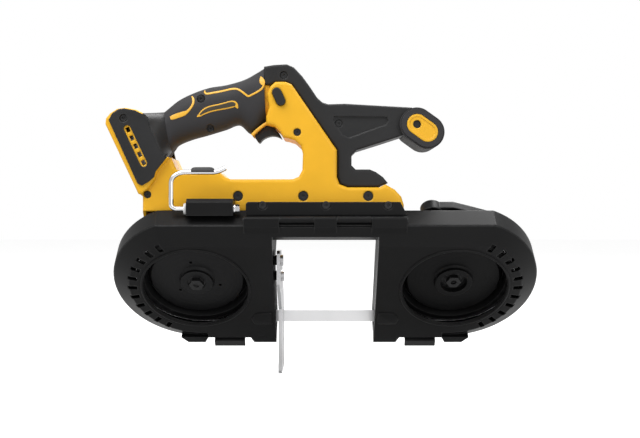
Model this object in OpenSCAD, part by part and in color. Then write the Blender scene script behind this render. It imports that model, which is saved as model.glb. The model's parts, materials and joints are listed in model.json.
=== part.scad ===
// Portable band saw, cordless, with two handles and an 86 mm deep throat.
// The blade loop runs over two wheels in a slab that leans from upright, and
// guides twist the blade upright in the throat. X runs along the saw, the open
// face of the wheels looks towards -Y and down, and Z is up from the shoe's foot.

/* [Blade loop] */
// Distance between the two wheel centres
wheel_spacing = 258; // [246:1:268]
// Radius of a wheel over its tyre
wheel_r = 60.6; // [59:0.1:61]
// Lean of the wheels from upright, in degrees
tilt = 42; // [40:0.5:44]
// Height of the blade's middle in the throat
blade_z = 55.4; // [52:0.1:60]
// Width of the blade
blade_w = 12.7; // [10:0.1:13]
// Thickness of the blade
blade_t = 0.5; // [0.4:0.05:0.8]
// Distance from tooth to tooth
tooth_pitch = 2.54; // [1.8:0.02:4.2]
// Depth of a tooth gullet
tooth_depth = 1.1; // [0.6:0.1:1.6]
// Width of a tyre
tyre_w = 12.6; // [10:0.1:13]
// Thickness of a tyre
tyre_t = 3; // [2:0.1:4]

/* [Body shell] */
// Radius of the shell's round ends
rim_r = 83; // [81:0.5:85]
// Height of the level top above the wheel centres
top_h = 76; // [74:0.5:78]
// Depth of the feet below the wheel centres
foot_h = 81; // [79:0.5:82]
// Height of the shell's edge between the feet over the feet's soles
base_step = 7.5; // [6:0.5:9]
// Depth of the frame behind the wheels' middle plane
back_p = 22; // [21:0.5:24]
// Height of the seam between frame and cover in front of that plane
seam_p = 8; // [7.5:0.5:9]
// Height of the cover's flat face in front of that plane
face_p = 19; // [18:0.5:21]
// Wall of the frame
frame_wall = 3; // [2:0.1:3.4]
// Wall of the cover
cover_wall = 2.5; // [1.8:0.1:3]
// Width of the cover's sloping edge
bevel_w = 17.3; // [14:0.1:19]
// Size of the frame's rear edge chamfer
rear_chamfer = 8.5; // [6:0.5:10]
// Half width of the throat
throat_x = 51; // [48:0.5:53]
// Radius of the round windows in the cover
window_r = 52; // [46:0.5:54]
// Radius at which the vent slots sit
vent_r = 62.8; // [61:0.1:64]
// Number of vent slots beside a window
vent_count = 11; // [7:1:13]
// Length of a vent slot
vent_len = 9.2; // [6:0.1:10]
// Width of a vent slot
vent_w = 5; // [2.5:0.1:6]

/* [Bridge and hinge] */
// Radius of the hinge barrel
barrel_r = 3.2; // [2.8:0.1:3.4]
// Radius of the hinge pin
hinge_pin_r = 1.5; // [1.2:0.05:1.8]
// Half length of the hinge
hinge_half = 77.6; // [75:0.1:80]
// Half length of the middle knuckle
knuckle_mid = 10.8; // [8:0.1:14]
// Place where the second knuckle ends
knuckle_end = 43.9; // [38:0.1:48]
// Height of the flange plate's top edge over the foot
flange_top = 174.4; // [173:0.1:177]
// Place of the outer flange screws from the middle
flange_screw_x = 60.4; // [54:0.1:64]

/* [Guides and shoe] */
// Radius of a blade guide roller
roller_r = 6.5; // [5:0.1:7]
// Length of a blade guide roller
roller_len = 9; // [7:0.1:10]
// Radius of a guide roller's axle
roller_axle_r = 2.5; // [2:0.1:3]
// Distance of the rollers behind the throat wall
roller_inset = 11; // [10:0.5:13]
// Thickness of the shoe plate
shoe_t = 3; // [2:0.1:3.4]
// Height of the shoe's top edge
shoe_top = 127; // [124:0.5:130]
// Half width of the shoe at its foot
shoe_half = 32; // [26:0.5:36]
// Half width of the blade slot in the shoe
shoe_slot = 4; // [3:0.1:6]
// Gap between the throat wall and the shoe
shoe_stand = 3.5; // [2.5:0.1:5]

/* [Housing and handles] */
// Depth of the housing's middle plane in front of the blade
mid_depth = 46; // [45.5:0.1:46.5]
// Half thickness of the yellow housing
housing_half = 26; // [25.5:0.1:26.5]
// Half thickness of the rear handle
grip_half = 19; // [17:0.5:21]
// Thickness of the soft grip skin
grip_skin = 3.2; // [2.4:0.1:4]
// Half thickness of the front arm
arm_half = 18; // [16:0.5:19]
// Half thickness of the battery foot
foot_half = 33; // [31:0.5:34]
// Wall of the moulded housings
housing_wall = 3; // [2.4:0.1:3.4]
// Radius of the front handle's ends
pill_r = 16.5; // [15.5:0.1:17.5]
// Half distance between the front handle's end centres
pill_half = 6.5; // [5:0.1:8]
// Half length of the front handle
pill_len = 27; // [25:0.5:30]
// Radius of the front handle's end caps
cap_r = 10; // [8.5:0.1:11]
// Thickness of the battery foot's side covers
foot_cover_t = 2; // [1.4:0.1:2.6]
// Radius of the small housing screw heads
screw_r = 3.4; // [2.8:0.1:3.8]
// Radius of the large screw heads along the rail
rail_screw_r = 4.6; // [4:0.1:5]
// Travel of the trigger
trigger_travel = 6; // [4:0.5:7]
// Thickness of the trigger
trigger_w = 15; // [12:0.5:17]
// Travel of the lock button
lock_travel = 4; // [2:0.5:5]

/* [Drive] */
// Radius of the drive and idler spindles
spindle_r = 6; // [5.5:0.1:6.5]
// Outer radius of the spindle bearings
bearing_r = 14; // [12.5:0.1:14.5]
// Width of the spindle bearings
bearing_w = 8; // [6:0.5:9]
// Tooth module of the output stage
output_module = 1.2; // [1.1:0.02:1.26]
// Tooth module of the motor stage
motor_module = 0.8; // [0.7:0.02:0.84]
// Radius of the motor
motor_r = 25; // [23:0.5:25.5]
// Length of the motor case
motor_len = 58; // [54:1:62]
// Depth of the gear case
gear_case_len = 26; // [25.5:0.5:28]

/* [Hook] */
// Radius of the hook's wire
hook_r = 2.4; // [2:0.1:2.8]
// Height of the hook's pivot over the foot
hook_z = 167.7; // [167:0.1:168.5]
// Rise of the hook's arm over its pivot
hook_rise = 35.1; // [30:0.5:38]
// Length of the hook's arm
hook_arm = 44; // [38:0.5:50]

/* [Blade tension] */
// Travel of the idler wheel when the tension is let off
tension_travel = 6; // [4:0.5:7]
// Turn of the tension lever in degrees
lever_turn = 100; // [80:5:110]
// Length of the tension lever
lever_len = 57; // [50:1:62]

/* [Clearances] */
// Radial clearance of a running fit
run_fit = 0.05; // [0.02:0.01:0.09]
// Gap between parts that move past each other
gap = 0.4; // [0.3:0.05:0.5]
// Play between the blade and the tyres
blade_gap = 0.2; // [0.1:0.05:0.3]
// Play between meshing teeth
backlash = 0.16; // [0.12:0.01:0.24]

/* [Hidden] */
$fn = 48;
eps = 0.1;

black = [0.1, 0.1, 0.11];
dark = [0.17, 0.17, 0.18];
yellow = [1, 0.72, 0.13];
steel = [0.78, 0.79, 0.8];

// Blade loop: the run in the throat is upright, the return run lies in the bridge
wheel_x = wheel_spacing / 2;
blade_mid_r = wheel_r + blade_gap + blade_t / 2;
slab_y = -blade_mid_r * sin(tilt);
slab_z = blade_z + blade_mid_r * cos(tilt);
twist = 90 - tilt;
guide_x = throat_x + roller_inset;
base_h = foot_h - base_step;

// Hinge axis of the cover, above the level top and just behind the seam
hinge_h = top_h + barrel_r + gap;
hinge_p = seam_p - 4;

// Middle of the whole part, which is where the part's origin stands
motor_end_p = back_p + gear_case_len + motor_len;
shift_x = -1.2;
shift_y = -21.7;

// Depth of the housing's middle plane behind the blade plane
mid_y = -mid_depth;

// Depth and height of the frame's level top, and those that the upright pieces are drawn for
seat = [slab_y - top_h * sin(tilt), slab_z + top_h * cos(tilt)];
seat_drawn = [-91.704, 157.248];

function unit(v) = v / norm(v);

// The outline drawn in by d, its points going round counterclockwise
function inset(pts, d) = [
  for (i = [0 : len(pts) - 1])
    let (
      a = pts[(i + len(pts) - 1) % len(pts)],
      b = pts[i],
      c = pts[(i + 1) % len(pts)],
      u = unit(b - a),
      w = unit(c - b),
      n1 = [-u[1], u[0]],
      n2 = [-w[1], w[0]]
    )
    b + d * (n1 + n2) / (1 + n1 * n2)
];

// The part's own frame
module placed() {
  translate([-shift_x, -shift_y, 0]) children();
}

// The leaning frame of the wheels: x along the saw, y up the slab, z out of the cover
module slab() {
  placed() translate([0, slab_y, slab_z]) rotate([90 + tilt, 0, 0]) children();
}

// What stands on the frame's level top moves with it
module seated() {
  translate([0, seat[0] - seat_drawn[0], seat[1] - seat_drawn[1]]) children();
}

// The upright frame of the housing: x along the saw, y up, z forwards from its middle plane
module upright() {
  placed() seated() translate([0, mid_y, 0]) rotate([90, 0, 0]) children();
}

// The rear half of the housing is the mirror image of the front half
module rear_half() {
  mirror([0, 0, 1]) children();
}

// Draws a y-z outline from x0 to x1
module along_x(x0, x1) {
  translate([x0, 0, 0]) rotate([90, 0, 90]) linear_extrude(x1 - x0) children();
}

// Twice the area of the triangle a, b, c: positive where it turns left
function turn(a, b, c) = (b[0] - a[0]) * (c[1] - a[1]) - (b[1] - a[1]) * (c[0] - a[0]);

// Whether corner i of the loop can be cut off as a triangle that holds no other corner
function is_ear(pts, loop, i) =
  let (
    n = len(loop),
    a = pts[loop[(i + n - 1) % n]],
    b = pts[loop[i]],
    c = pts[loop[(i + 1) % n]],
    held = [
      for (k = [2 : n - 2])
        let (q = pts[loop[(i + k) % n]])
        if (turn(a, b, q) >= 0 && turn(b, c, q) >= 0 && turn(c, a, q) >= 0) q
    ]
  )
  turn(a, b, c) > 0 && len(held) == 0;

// Triangles that fill the loop of corners, each one cut off the loop in turn
function ears(pts, loop) =
  len(loop) == 3 ? [loop] :
  let (
    n = len(loop),
    found = [for (i = [0 : n - 1]) if (is_ear(pts, loop, i)) i],
    e = len(found) > 0 ? found[0] : 0,
    rest = [for (k = [0 : n - 1]) if (k != e) loop[k]]
  )
  concat([[loop[(e + n - 1) % n], loop[e], loop[(e + 1) % n]]], ears(pts, rest));

// A plate with the outline given, whose front edge is rounded off with radius r
module rounded_plate(pts, depth, r) {
  rings = [for (a = [0, 30, 60, 90]) [depth - r + r * sin(a), r * (1 - cos(a))]];
  n = len(pts);
  loop = [for (i = [0 : n - 1]) i];
  verts = [for (g = rings) for (q = inset(pts, g[1])) [q[0], q[1], g[0]]];
  sides = [
    for (k = [0 : len(rings) - 2]) for (i = loop)
      [k * n + i, (k + 1) * n + i, (k + 1) * n + (i + 1) % n, k * n + (i + 1) % n]
  ];
  last = (len(rings) - 1) * n;
  face = [for (t = ears(inset(pts, r), loop)) [last + t[2], last + t[1], last + t[0]]];
  linear_extrude(depth - r) polygon(pts);
  polyhedron(verts, concat(ears(pts, loop), sides, face));
}

// An obround outline whose end centres lie half the given way along the direction
module obround(half, r, dir = [1, 0]) {
  a = atan2(dir[1], dir[0]);
  rotate(a) {
    translate([-half, 0]) circle(r);
    translate([half, 0]) circle(r);
    square([2 * half, 2 * r], center = true);
  }
}

// Frame, cover and what they carry

// Inset and height of the frame's outer and inner form
frame_levels = [[-back_p, rear_chamfer], [-back_p + rear_chamfer, 0], [seam_p, 0]];
inner_chamfer = rear_chamfer + frame_wall * (sqrt(2) - 1);
frame_cavity = [
  [-back_p + frame_wall, inner_chamfer],
  [-back_p + rear_chamfer + frame_wall * (sqrt(2) - 1), frame_wall],
  [seam_p + eps, frame_wall]
];
bevel_slope = bevel_w / (face_p - seam_p);
cover_levels = [[seam_p, 0], [face_p, bevel_w]];
cover_cavity = [
  [seam_p - eps, cover_wall * 1.2],
  [face_p - cover_wall, cover_wall * 1.2 + bevel_slope * (face_p - cover_wall - seam_p)]
];

// Side of a foot that leans in towards its sole
foot_lean = 3.5;
foot_outer = [wheel_x - 6.5, wheel_x + 18.5];
foot_inner = [throat_x, throat_x + 27];

// One lobe of the slab, from the throat to its round end, drawn in by wall at the throat and below
module lobe(side, levels, wall) {
  top = [for (l = levels) [top_h - l[1], l[0]]];
  base = [for (i = [len(levels) - 1 : -1 : 0]) [-foot_h + wall, levels[i][0]]];
  mirror([side < 0 ? 1 : 0, 0, 0])
    intersection() {
      along_x(0, wheel_x + rim_r) polygon(concat(top, base));
      union() {
        intersection() {
          for (i = [0 : len(levels) - 2])
            translate([wheel_x, 0, levels[i][0]])
              cylinder(
                h = levels[i + 1][0] - levels[i][0],
                r1 = rim_r - levels[i][1],
                r2 = rim_r - levels[i + 1][1],
                $fn = 96
              );
          translate([foot_outer[0] + wall, -rim_r, -back_p - eps])
            cube([2 * rim_r, 2 * rim_r, back_p + face_p + 1]);
        }
        translate([throat_x + wall, -base_h + wall, levels[0][0]])
          cube([
            foot_outer[0] - throat_x + eps,
            base_h + top_h,
            levels[len(levels) - 1][0] - levels[0][0]
          ]);
      }
    }
}

// The four feet between the heights p0 and p1
module feet(p0, p1) {
  for (side = [-1, 1])
    translate([0, 0, p0])
      linear_extrude(p1 - p0) {
        polygon([
          [side * foot_inner[0], -base_h + eps], [side * foot_inner[0], -foot_h],
          [side * (foot_inner[1] - foot_lean), -foot_h], [side * foot_inner[1], -base_h + eps]
        ]);
        polygon([
          [side * foot_outer[0], -base_h + eps], [side * (foot_outer[0] + foot_lean), -foot_h],
          [side * (foot_outer[1] - foot_lean), -foot_h], [side * (foot_outer[1] + foot_lean), -base_h + eps]
        ]);
      }
}

// Lower edge of the bridge over the throat
bridge_low = 57;

module bridge_channel() {
  outer = [
    [bridge_low, seam_p], [bridge_low, -back_p], [top_h - rear_chamfer, -back_p],
    [top_h, -back_p + rear_chamfer], [top_h, seam_p]
  ];
  along_x(-throat_x - frame_wall, throat_x + frame_wall) polygon(outer);
}

module bridge_hollow() {
  floor_p = -back_p + frame_wall;
  inner = [
    [bridge_low + 2, seam_p + eps], [bridge_low + 2, floor_p], [top_h - inner_chamfer, floor_p],
    [top_h - frame_wall, frame_cavity[1][0]], [top_h - frame_wall, seam_p + eps]
  ];
  along_x(-throat_x - 2 * frame_wall, throat_x + 2 * frame_wall) polygon(inner);
}

// The gap in both throat walls that lets the blade through
module blade_port(p0, p1) {
  for (side = [-1, 1])
    translate([side * (throat_x + frame_wall / 2), -blade_mid_r, (p0 + p1) / 2])
      cube([2 * frame_wall + 4, 20, p1 - p0], center = true);
}

// A knuckle of the hinge and the leaf that joins it to the shell
module knuckle(x0, x1, leaf) {
  difference() {
    union() {
      translate([x0, hinge_h, hinge_p]) rotate([0, 90, 0]) cylinder(h = x1 - x0, r = barrel_r);
      along_x(x0, x1) polygon(leaf);
    }
    translate([x0 - 1, hinge_h, hinge_p])
      rotate([0, 90, 0]) cylinder(h = x1 - x0 + 2, r = hinge_pin_r + run_fit);
  }
}

// Leaves of the hinge: the frame's rises behind the barrel, the cover's in front of it
frame_leaf = [
  [top_h - eps, hinge_p - barrel_r - 3], [top_h - eps, hinge_p - 0.5],
  [hinge_h, hinge_p - 0.5], [hinge_h, hinge_p - barrel_r], [hinge_h - 1, hinge_p - barrel_r - 3]
];
cover_leaf = [
  [top_h - 3, seam_p], [top_h - 7.5, seam_p + 4.5], [top_h, seam_p + 3.2],
  [hinge_h + barrel_r * 0.7, hinge_p + barrel_r * 0.7], [hinge_h, hinge_p],
  [hinge_h - barrel_r * 0.2, hinge_p + 0.2], [top_h + gap, seam_p]
];

// Spindle bores, the carriage's guide rails and the lever's bore
boss_r = bearing_r + 5;
carriage_x = [wheel_x - 17, wheel_x + 21];
carriage_half = 22;
carriage_p = [-back_p + frame_wall + 0.3, -13.5];
lever_x = 106;
lever_h = top_h - 18.6;
lever_shaft_r = 5;

module frame_deck() color(black) slab() {
  difference() {
    union() {
      difference() {
        union() {
          for (side = [-1, 1])
            lobe(side, frame_levels, 0);
          feet(-back_p + rear_chamfer, seam_p);
          bridge_channel();
        }
        for (side = [-1, 1])
          lobe(side, frame_cavity, frame_wall);
        bridge_hollow();
        blade_port(-9, seam_p + eps);
      }
      translate([-wheel_x, 0, -back_p]) cylinder(h = back_p - 10, r = boss_r);
      for (m = [-1, 1]) {
        rail_y = m > 0 ? carriage_half + gap : -carriage_half - gap - 4;
        translate([wheel_x + 2, rail_y, -back_p + 1]) cube([27, 4, back_p - 12]);
        translate([wheel_x - 31, rail_y, -back_p + 1]) cube([14, 4, back_p - 12]);
      }
      translate([wheel_x - 39, -8, -back_p + 1]) cube([6, 16, back_p - 10]);
      translate([lever_x, lever_h, -back_p]) cylinder(h = frame_wall + 0.2, r = lever_shaft_r + 3);
      for (x = [-knuckle_end, knuckle_mid])
        knuckle(x + gap / 2, x + knuckle_end - knuckle_mid - gap / 2, frame_leaf);
      for (side = [-1, 1])
        latch_ears(side);
      for (q = shoe_points)
        translate([-throat_x - 9, q[0], q[1]])
          rotate([0, 90, 0]) cylinder(h = 9 + shoe_stand, r = shoe_boss_r);
    }
    translate([-wheel_x, 0, -back_p - 1]) cylinder(h = back_p, r = spindle_r + 3);
    translate([-wheel_x, 0, -10 - bearing_w]) cylinder(h = bearing_w + 1, r = bearing_r);
    translate([lever_x, lever_h, -back_p - 1]) cylinder(h = frame_wall + 3, r = lever_shaft_r + run_fit);
    translate([lay_at[0], lay_at[1], -back_p - 1])
      cylinder(h = frame_wall + 3, r = lay_end_r + run_fit);
    for (q = shoe_points)
      translate([-throat_x - 10, q[0], q[1]])
        rotate([0, 90, 0]) cylinder(h = 12 + shoe_stand, r = shoe_screw_r);
    for (side = [-1, 1])
      guide_pocket(side);
  }
  saddle();
}

// Ribs behind the slab that carry the level bottom of the housing
saddle_x = [[-178, -160], [-64, -53], [54, 76]];
housing_base = 158;

module saddle() {
  for (s = saddle_x)
    intersection() {
      unslab() seated()
        translate([s[0], mid_y - housing_half + 8, housing_base - 30]) cube([s[1] - s[0], 24, 30]);
      translate([-300, -100, -back_p - 100]) cube([600, 300, 100.02]);
    }
}

// Undoes the lean, to draw upright things inside the slab's frame
module unslab() {
  rotate([-90 - tilt, 0, 0]) translate([0, -slab_y, -slab_z]) children();
}

// Room for a guide and its rollers beside the throat wall
module guide_pocket(side) {
  unslab()
    translate([side * (guide_x + 1.5), 0.5, blade_z + 3.6])
      cube([2 * (roller_inset - frame_wall + 1.5), 29, 21], center = true);
}

// The shoe's screws, as slab height and depth
shoe_points = [[22, 0], [-6, -6]];
shoe_screw_r = 2;
shoe_boss_r = 5;

// Latches between the feet: the pivot stands under the frame's edge
latch_mid = (foot_inner[1] + foot_outer[0]) / 2;
latch_half = 16;
latch_h = -base_h - 4;
latch_p = 1.5;
latch_pin_r = 1.5;

module latch_ears(side) {
  for (m = [-1, 1])
    translate([side * latch_mid + m * (latch_half + gap + 1.2), 0, 0])
      difference() {
        translate([-1.2, latch_h - 2.6, latch_p - 2.8]) cube([2.4, -base_h - latch_h + 3, 5.6]);
        translate([-2, latch_h, latch_p])
          rotate([0, 90, 0]) cylinder(h = 4, r = latch_pin_r + run_fit, $fn = 32);
      }
}

// Blade

run_start = throat_x + roller_inset + roller_r + 1;

// Where the twist starts: a straight stretch lies between it and the wheel
twist_x = wheel_x - 10;
twist_set = 0.5;

// Corners of the blade's cross section at x, turned by angle a from the slab's own direction
function blade_ring(x, a) = [
  for (c = [[-1, -1], [1, -1], [1, 1], [-1, 1]])
    let (
      w = c[1] * (blade_w / 2 - 0.01),
      t = c[0] * (blade_t / 2 - 0.01)
    )
    [x, -blade_mid_r + t * cos(a) - w * sin(a), t * sin(a) + w * cos(a)]
];

// Blade between a wheel and its guide, turning from the wheel's plane to upright
module blade_twist(side) {
  steps = 12;
  rings = concat(
    [blade_ring(twist_x + twist_set, 0)],
    [for (i = [0 : steps]) blade_ring(twist_x + (run_start - twist_x) * i / steps, twist * i / steps)],
    [blade_ring(run_start - twist_set, twist)]
  );
  verts = [for (g = rings) for (v = g) [side * v[0], v[1], v[2]]];
  sides = [
    for (i = [0 : len(rings) - 2]) for (k = [0 : 3])
      let (a = 4 * i + k, b = 4 * i + (k + 1) % 4)
      side < 0 ? [a, a + 4, b + 4, b] : [b, b + 4, a + 4, a]
  ];
  last = 4 * (len(rings) - 1);
  first_cap = side < 0 ? [0, 1, 2, 3] : [3, 2, 1, 0];
  last_cap = side < 0 ? [3, 2, 1, 0] : [0, 1, 2, 3];
  polyhedron(verts, concat([first_cap], sides, [[for (k = last_cap) last + k]]));
}

// Half ring over a wheel
module blade_bend(side) {
  translate([side * wheel_x, 0, 0])
    rotate([0, 0, side > 0 ? -90 : 90])
      rotate_extrude(angle = 180, $fn = 96)
        translate([blade_mid_r - blade_t / 2, -blade_w / 2]) square([blade_t, blade_w]);
}

module saw_blade() color(steel) {
  teeth = floor(2 * run_start / tooth_pitch);
  start = -teeth * tooth_pitch / 2;
  slab() {
    for (side = [-1, 1]) {
      blade_bend(side);
      blade_twist(side);
      translate([side * (wheel_x + twist_x) / 2, -blade_mid_r, 0])
        cube([wheel_x - twist_x, blade_t, blade_w], center = true);
    }
    translate([-wheel_x, blade_mid_r - blade_t / 2, -blade_w / 2])
      cube([wheel_spacing, blade_t, blade_w]);
  }
  placed() translate([0, 0, blade_z]) rotate([90, 0, 0]) translate([0, 0, -blade_t / 2])
    linear_extrude(blade_t)
      polygon(concat(
        [[run_start, blade_w / 2], [-run_start, blade_w / 2], [-run_start, -blade_w / 2]],
        [for (i = [0 : teeth - 1]) each [
          [start + i * tooth_pitch, -blade_w / 2],
          [start + (i + 0.45) * tooth_pitch, -blade_w / 2 + tooth_depth]
        ]],
        [[run_start, -blade_w / 2]]
      ));
}

// Cover, hinge and latches

// Strip of the cover over the throat: the slope, then a return to the seam
module bridge_strip() {
  low = (top_h + bridge_low) / 2;
  nose = seam_p + (top_h - low) / bevel_slope;
  t = cover_wall * 0.7;
  along_x(-throat_x - 1, throat_x + 1)
    polygon([
      [top_h, seam_p], [low, nose], [bridge_low + 0.6, seam_p + 0.6], [bridge_low + 0.6, seam_p],
      [bridge_low + 0.6 + t, seam_p], [low, nose - 1.2 * t], [top_h - 2 * t, seam_p]
    ]);
}

module window(side) {
  translate([side * wheel_x, 0, seam_p]) cylinder(h = face_p, r = window_r, $fn = 96);
  translate([side * wheel_x, 0, face_p - 1.5])
    cylinder(h = 1.6, r1 = window_r, r2 = window_r + 1.6, $fn = 96);
}

// Angles of the vent slots, counted from straight up
vent_first = 28.4;
vent_step = 12;

module vents(side) {
  for (i = [0 : vent_count - 1])
    translate([side * wheel_x, 0, seam_p])
      rotate([0, 0, 90 - side * (vent_first + i * vent_step)])
        translate([vent_r - vent_len / 2, -vent_w / 2, 0]) cube([vent_len, vent_w, face_p]);
}

module wheel_cover() color(black) slab() {
  difference() {
    union() {
      difference() {
        union() {
          for (side = [-1, 1])
            lobe(side, cover_levels, 0);
          feet(seam_p, face_p);
        }
        for (side = [-1, 1])
          lobe(side, cover_cavity, cover_wall);
      }
      bridge_strip();
    }
    for (side = [-1, 1]) {
      window(side);
      vents(side);
      guide_pocket(side);
    }
    blade_port(seam_p - eps, seam_p + 5);
    for (x = [[-knuckle_end, -knuckle_mid], [knuckle_mid, knuckle_end]])
      translate([x[0], top_h - 1.6, seam_p - 1]) cube([x[1] - x[0], 5, 3]);
  }
  knuckle(-hinge_half, -knuckle_end - gap / 2, cover_leaf);
  knuckle(-knuckle_mid + gap / 2, knuckle_mid - gap / 2, cover_leaf);
  knuckle(knuckle_end + gap / 2, hinge_half, cover_leaf);
}

module hinge_pin() color(steel) slab() {
  translate([-hinge_half - 1, hinge_h, hinge_p])
    rotate([0, 90, 0]) cylinder(h = 2 * hinge_half + 2, r = hinge_pin_r);
}

// A spring steel latch: pivot roll, arm under the cover's edge and a turned down thumb tab
module cover_latch(side) {
  x = side * latch_mid;
  arm = [
    [latch_h - 2.6, latch_p], [latch_h - 2.6, face_p - 2.5], [latch_h - 8.2, face_p - 1],
    [latch_h - 8.2, face_p + 1], [latch_h - 1, face_p + 1], [latch_h, face_p - 3], [latch_h, latch_p]
  ];
  color(dark) slab() {
    along_x(x - latch_half, x + latch_half) polygon(arm);
    translate([x - latch_half, latch_h, latch_p])
      rotate([0, 90, 0]) cylinder(h = 2 * latch_half, r = 2.6, $fn = 32);
    translate([x - latch_half - 2, latch_h, latch_p])
      rotate([0, 90, 0]) cylinder(h = 2 * latch_half + 4, r = latch_pin_r, $fn = 32);
  }
}

module cover_latch_left() cover_latch(-1);
module cover_latch_right() cover_latch(1);

// Flange that ties the housing to the frame's level top
flange_x = [-76.5, 72];
flange_y = [-88, mid_y - housing_half];
flange_screw_z = flange_top - 3.1;

module bridge_flange() color(black) placed() {
  difference() {
    seated() translate([0, flange_y[1], 0]) rotate([90, 0, 0])
      linear_extrude(flange_y[1] - flange_y[0])
        polygon([
          [flange_x[0], 150], [flange_x[0], flange_top - 2], [flange_x[0] + 2, flange_top],
          [flange_x[1], flange_top], [flange_x[1] + 6, 163], [flange_x[1] + 6, 150]
        ]);
    frame_envelope(0);
    for (x = flange_screw_x_all)
      seated() translate([x, flange_y[0], flange_screw_z]) rotate([-90, 0, 0]) {
        translate([0, 0, -1]) cylinder(h = flange_head_t + 1, r = flange_head_r + 0.6);
        cylinder(h = 40, r = flange_shank_r + 0.1);
      }
  }
}

flange_screw_x_all = [-flange_screw_x, 0.5, flange_screw_x];
flange_head_r = 3.8;
flange_head_t = 4;
flange_shank_r = 2;

module flange_screws() color(dark) placed() seated() {
  for (x = flange_screw_x_all)
    translate([x, flange_y[0] + 0.3, flange_screw_z]) rotate([-90, 0, 0])
      difference() {
        union() {
          cylinder(h = flange_head_t - 0.3, r = flange_head_r);
          cylinder(h = flange_y[1] - flange_y[0] + 8, r = flange_shank_r);
        }
        translate([0, 0, -1]) cylinder(h = 3.2, r = 1.9, $fn = 6);
      }
}

// Everything on the frame's side of its rear face, grown by the gap given
module frame_envelope(grow) {
  translate([0, slab_y, slab_z]) rotate([90 + tilt, 0, 0])
    along_x(-300, 300)
      polygon([
        [-300, -back_p - grow], [top_h - rear_chamfer + grow / 2, -back_p - grow],
        [top_h + grow, -back_p + rear_chamfer - grow / 2], [top_h + grow, 60], [-300, 60]
      ]);
}

// Wheels

wheel_rim_r = wheel_r - tyre_t;

// The drive wheel: a dished web between the hub and the rim
module drive_wheel() color(dark) slab() translate([-wheel_x, 0, 0])
  difference() {
    rotate_extrude($fn = 96)
      polygon([
        [spindle_r, -9], [14, -9], [14, -4], [42, 1], [48, -6], [wheel_rim_r - 4.6, -6.6],
        [wheel_rim_r, -6.6], [wheel_rim_r, 6.6], [wheel_rim_r - 4.6, 6.6], [50.5, -1.5],
        [46, 5], [18, 5.5], [16, 7.5], [16, 10.6], [9, 10.6], [9, 8.6], [spindle_r, 8.6]
      ]);
    for (a = [100, 220, 340])
      rotate(a) translate([24, 0, -10]) cylinder(h = 30, r = 1.6, $fn = 24);
  }

module idler_wheel() color(dark) slab() translate([wheel_x, 0, 0])
  rotate_extrude($fn = 96)
    polygon([
      [bearing_r - 1, -5], [17, -5], [42, 1], [48, -6], [wheel_rim_r - 4.6, -6.6],
      [wheel_rim_r, -6.6], [wheel_rim_r, 6.6], [wheel_rim_r - 4.6, 6.6], [50.5, -1.5],
      [46, 5], [20, 5.5], [18.4, 7], [18.4, 10.6], [13.6, 10.6], [13.6, 4.5], [bearing_r - 1, 4]
    ]);

module tyre() rotate_extrude($fn = 96)
  polygon([
    [wheel_rim_r, -tyre_w / 2], [wheel_r - 0.5, -tyre_w / 2], [wheel_r, -tyre_w / 2 + 0.5],
    [wheel_r, tyre_w / 2 - 0.5], [wheel_r - 0.5, tyre_w / 2], [wheel_rim_r, tyre_w / 2]
  ]);

module drive_tyre() color(black) slab() translate([-wheel_x, 0, 0]) tyre();
module idler_tyre() color(black) slab() translate([wheel_x, 0, 0]) tyre();

// A hexagon headed bolt and its washer
module hex_bolt(head_p, shank) {
  translate([0, 0, head_p]) cylinder(h = 1, r = 8.6);
  translate([0, 0, head_p + 1])
    difference() {
      cylinder(h = 4.5, r = 7.5, $fn = 6);
      translate([0, 0, 3]) cylinder(h = 2, r = 3);
    }
  translate([0, 0, head_p - shank]) cylinder(h = shank, r = 3);
}

module drive_bolt() color(dark) slab() translate([-wheel_x, 0, 0]) hex_bolt(8.6, 14);

output_p = [-back_p - 14, -back_p - 4];

module drive_spindle() color(steel) slab() translate([-wheel_x, 0, 0])
  difference() {
    union() {
      translate([0, 0, output_p[0]]) cylinder(h = 8.6 - output_p[0], r = spindle_r);
      translate([0, 0, -9.6]) cylinder(h = 0.6, r = spindle_r + 2);
    }
    translate([0, 0, -5.4]) cylinder(h = 15, r = 3);
  }

// Gear train: two stages behind the drive wheel

pressure = 25;
output_teeth = 46;
output_pinion_teeth = 10;
motor_gear_teeth = 52;
motor_pinion_teeth = 9;
output_centre = output_module * (output_teeth + output_pinion_teeth) / 2;
motor_centre = motor_module * (motor_gear_teeth + motor_pinion_teeth) / 2;
output_dir = -25;
motor_dir = 37;

function involute(a) = tan(a) * 180 / PI - a;

// Half angle of a tooth at radius r, in degrees
function tooth_half(m, z, r) =
  let (rp = m * z / 2, rb = rp * cos(pressure))
  90 / z - backlash / 4 / rp * 180 / PI + involute(pressure) - involute(acos(min(1, rb / r)));

// Outline of a stub toothed gear with a tooth at angle 0
function gear_outline(m, z) =
  let (
    rp = m * z / 2,
    rb = rp * cos(pressure),
    ra = rp + 0.8 * m,
    rf = rp - m,
    r0 = max(rb, rf),
    rs = [for (i = [0 : 3]) r0 + (ra - r0) * i / 3]
  )
  [for (k = [0 : z - 1]) each concat(
    rf < rb ? [rf * [cos(360 * k / z - tooth_half(m, z, r0)), sin(360 * k / z - tooth_half(m, z, r0))]] : [],
    [for (r = rs) r * [cos(360 * k / z - tooth_half(m, z, r)), sin(360 * k / z - tooth_half(m, z, r))]],
    [for (i = [3 : -1 : 0])
      rs[i] * [cos(360 * k / z + tooth_half(m, z, rs[i])), sin(360 * k / z + tooth_half(m, z, rs[i]))]],
    rf < rb ? [rf * [cos(360 * k / z + tooth_half(m, z, r0)), sin(360 * k / z + tooth_half(m, z, r0))]] : []
  )];

module gear(m, z, p, bore, turn) {
  translate([0, 0, p[0]])
    linear_extrude(p[1] - p[0])
      difference() {
        rotate(turn) polygon(gear_outline(m, z));
        if (bore > 0)
          circle(bore);
      }
}

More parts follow.
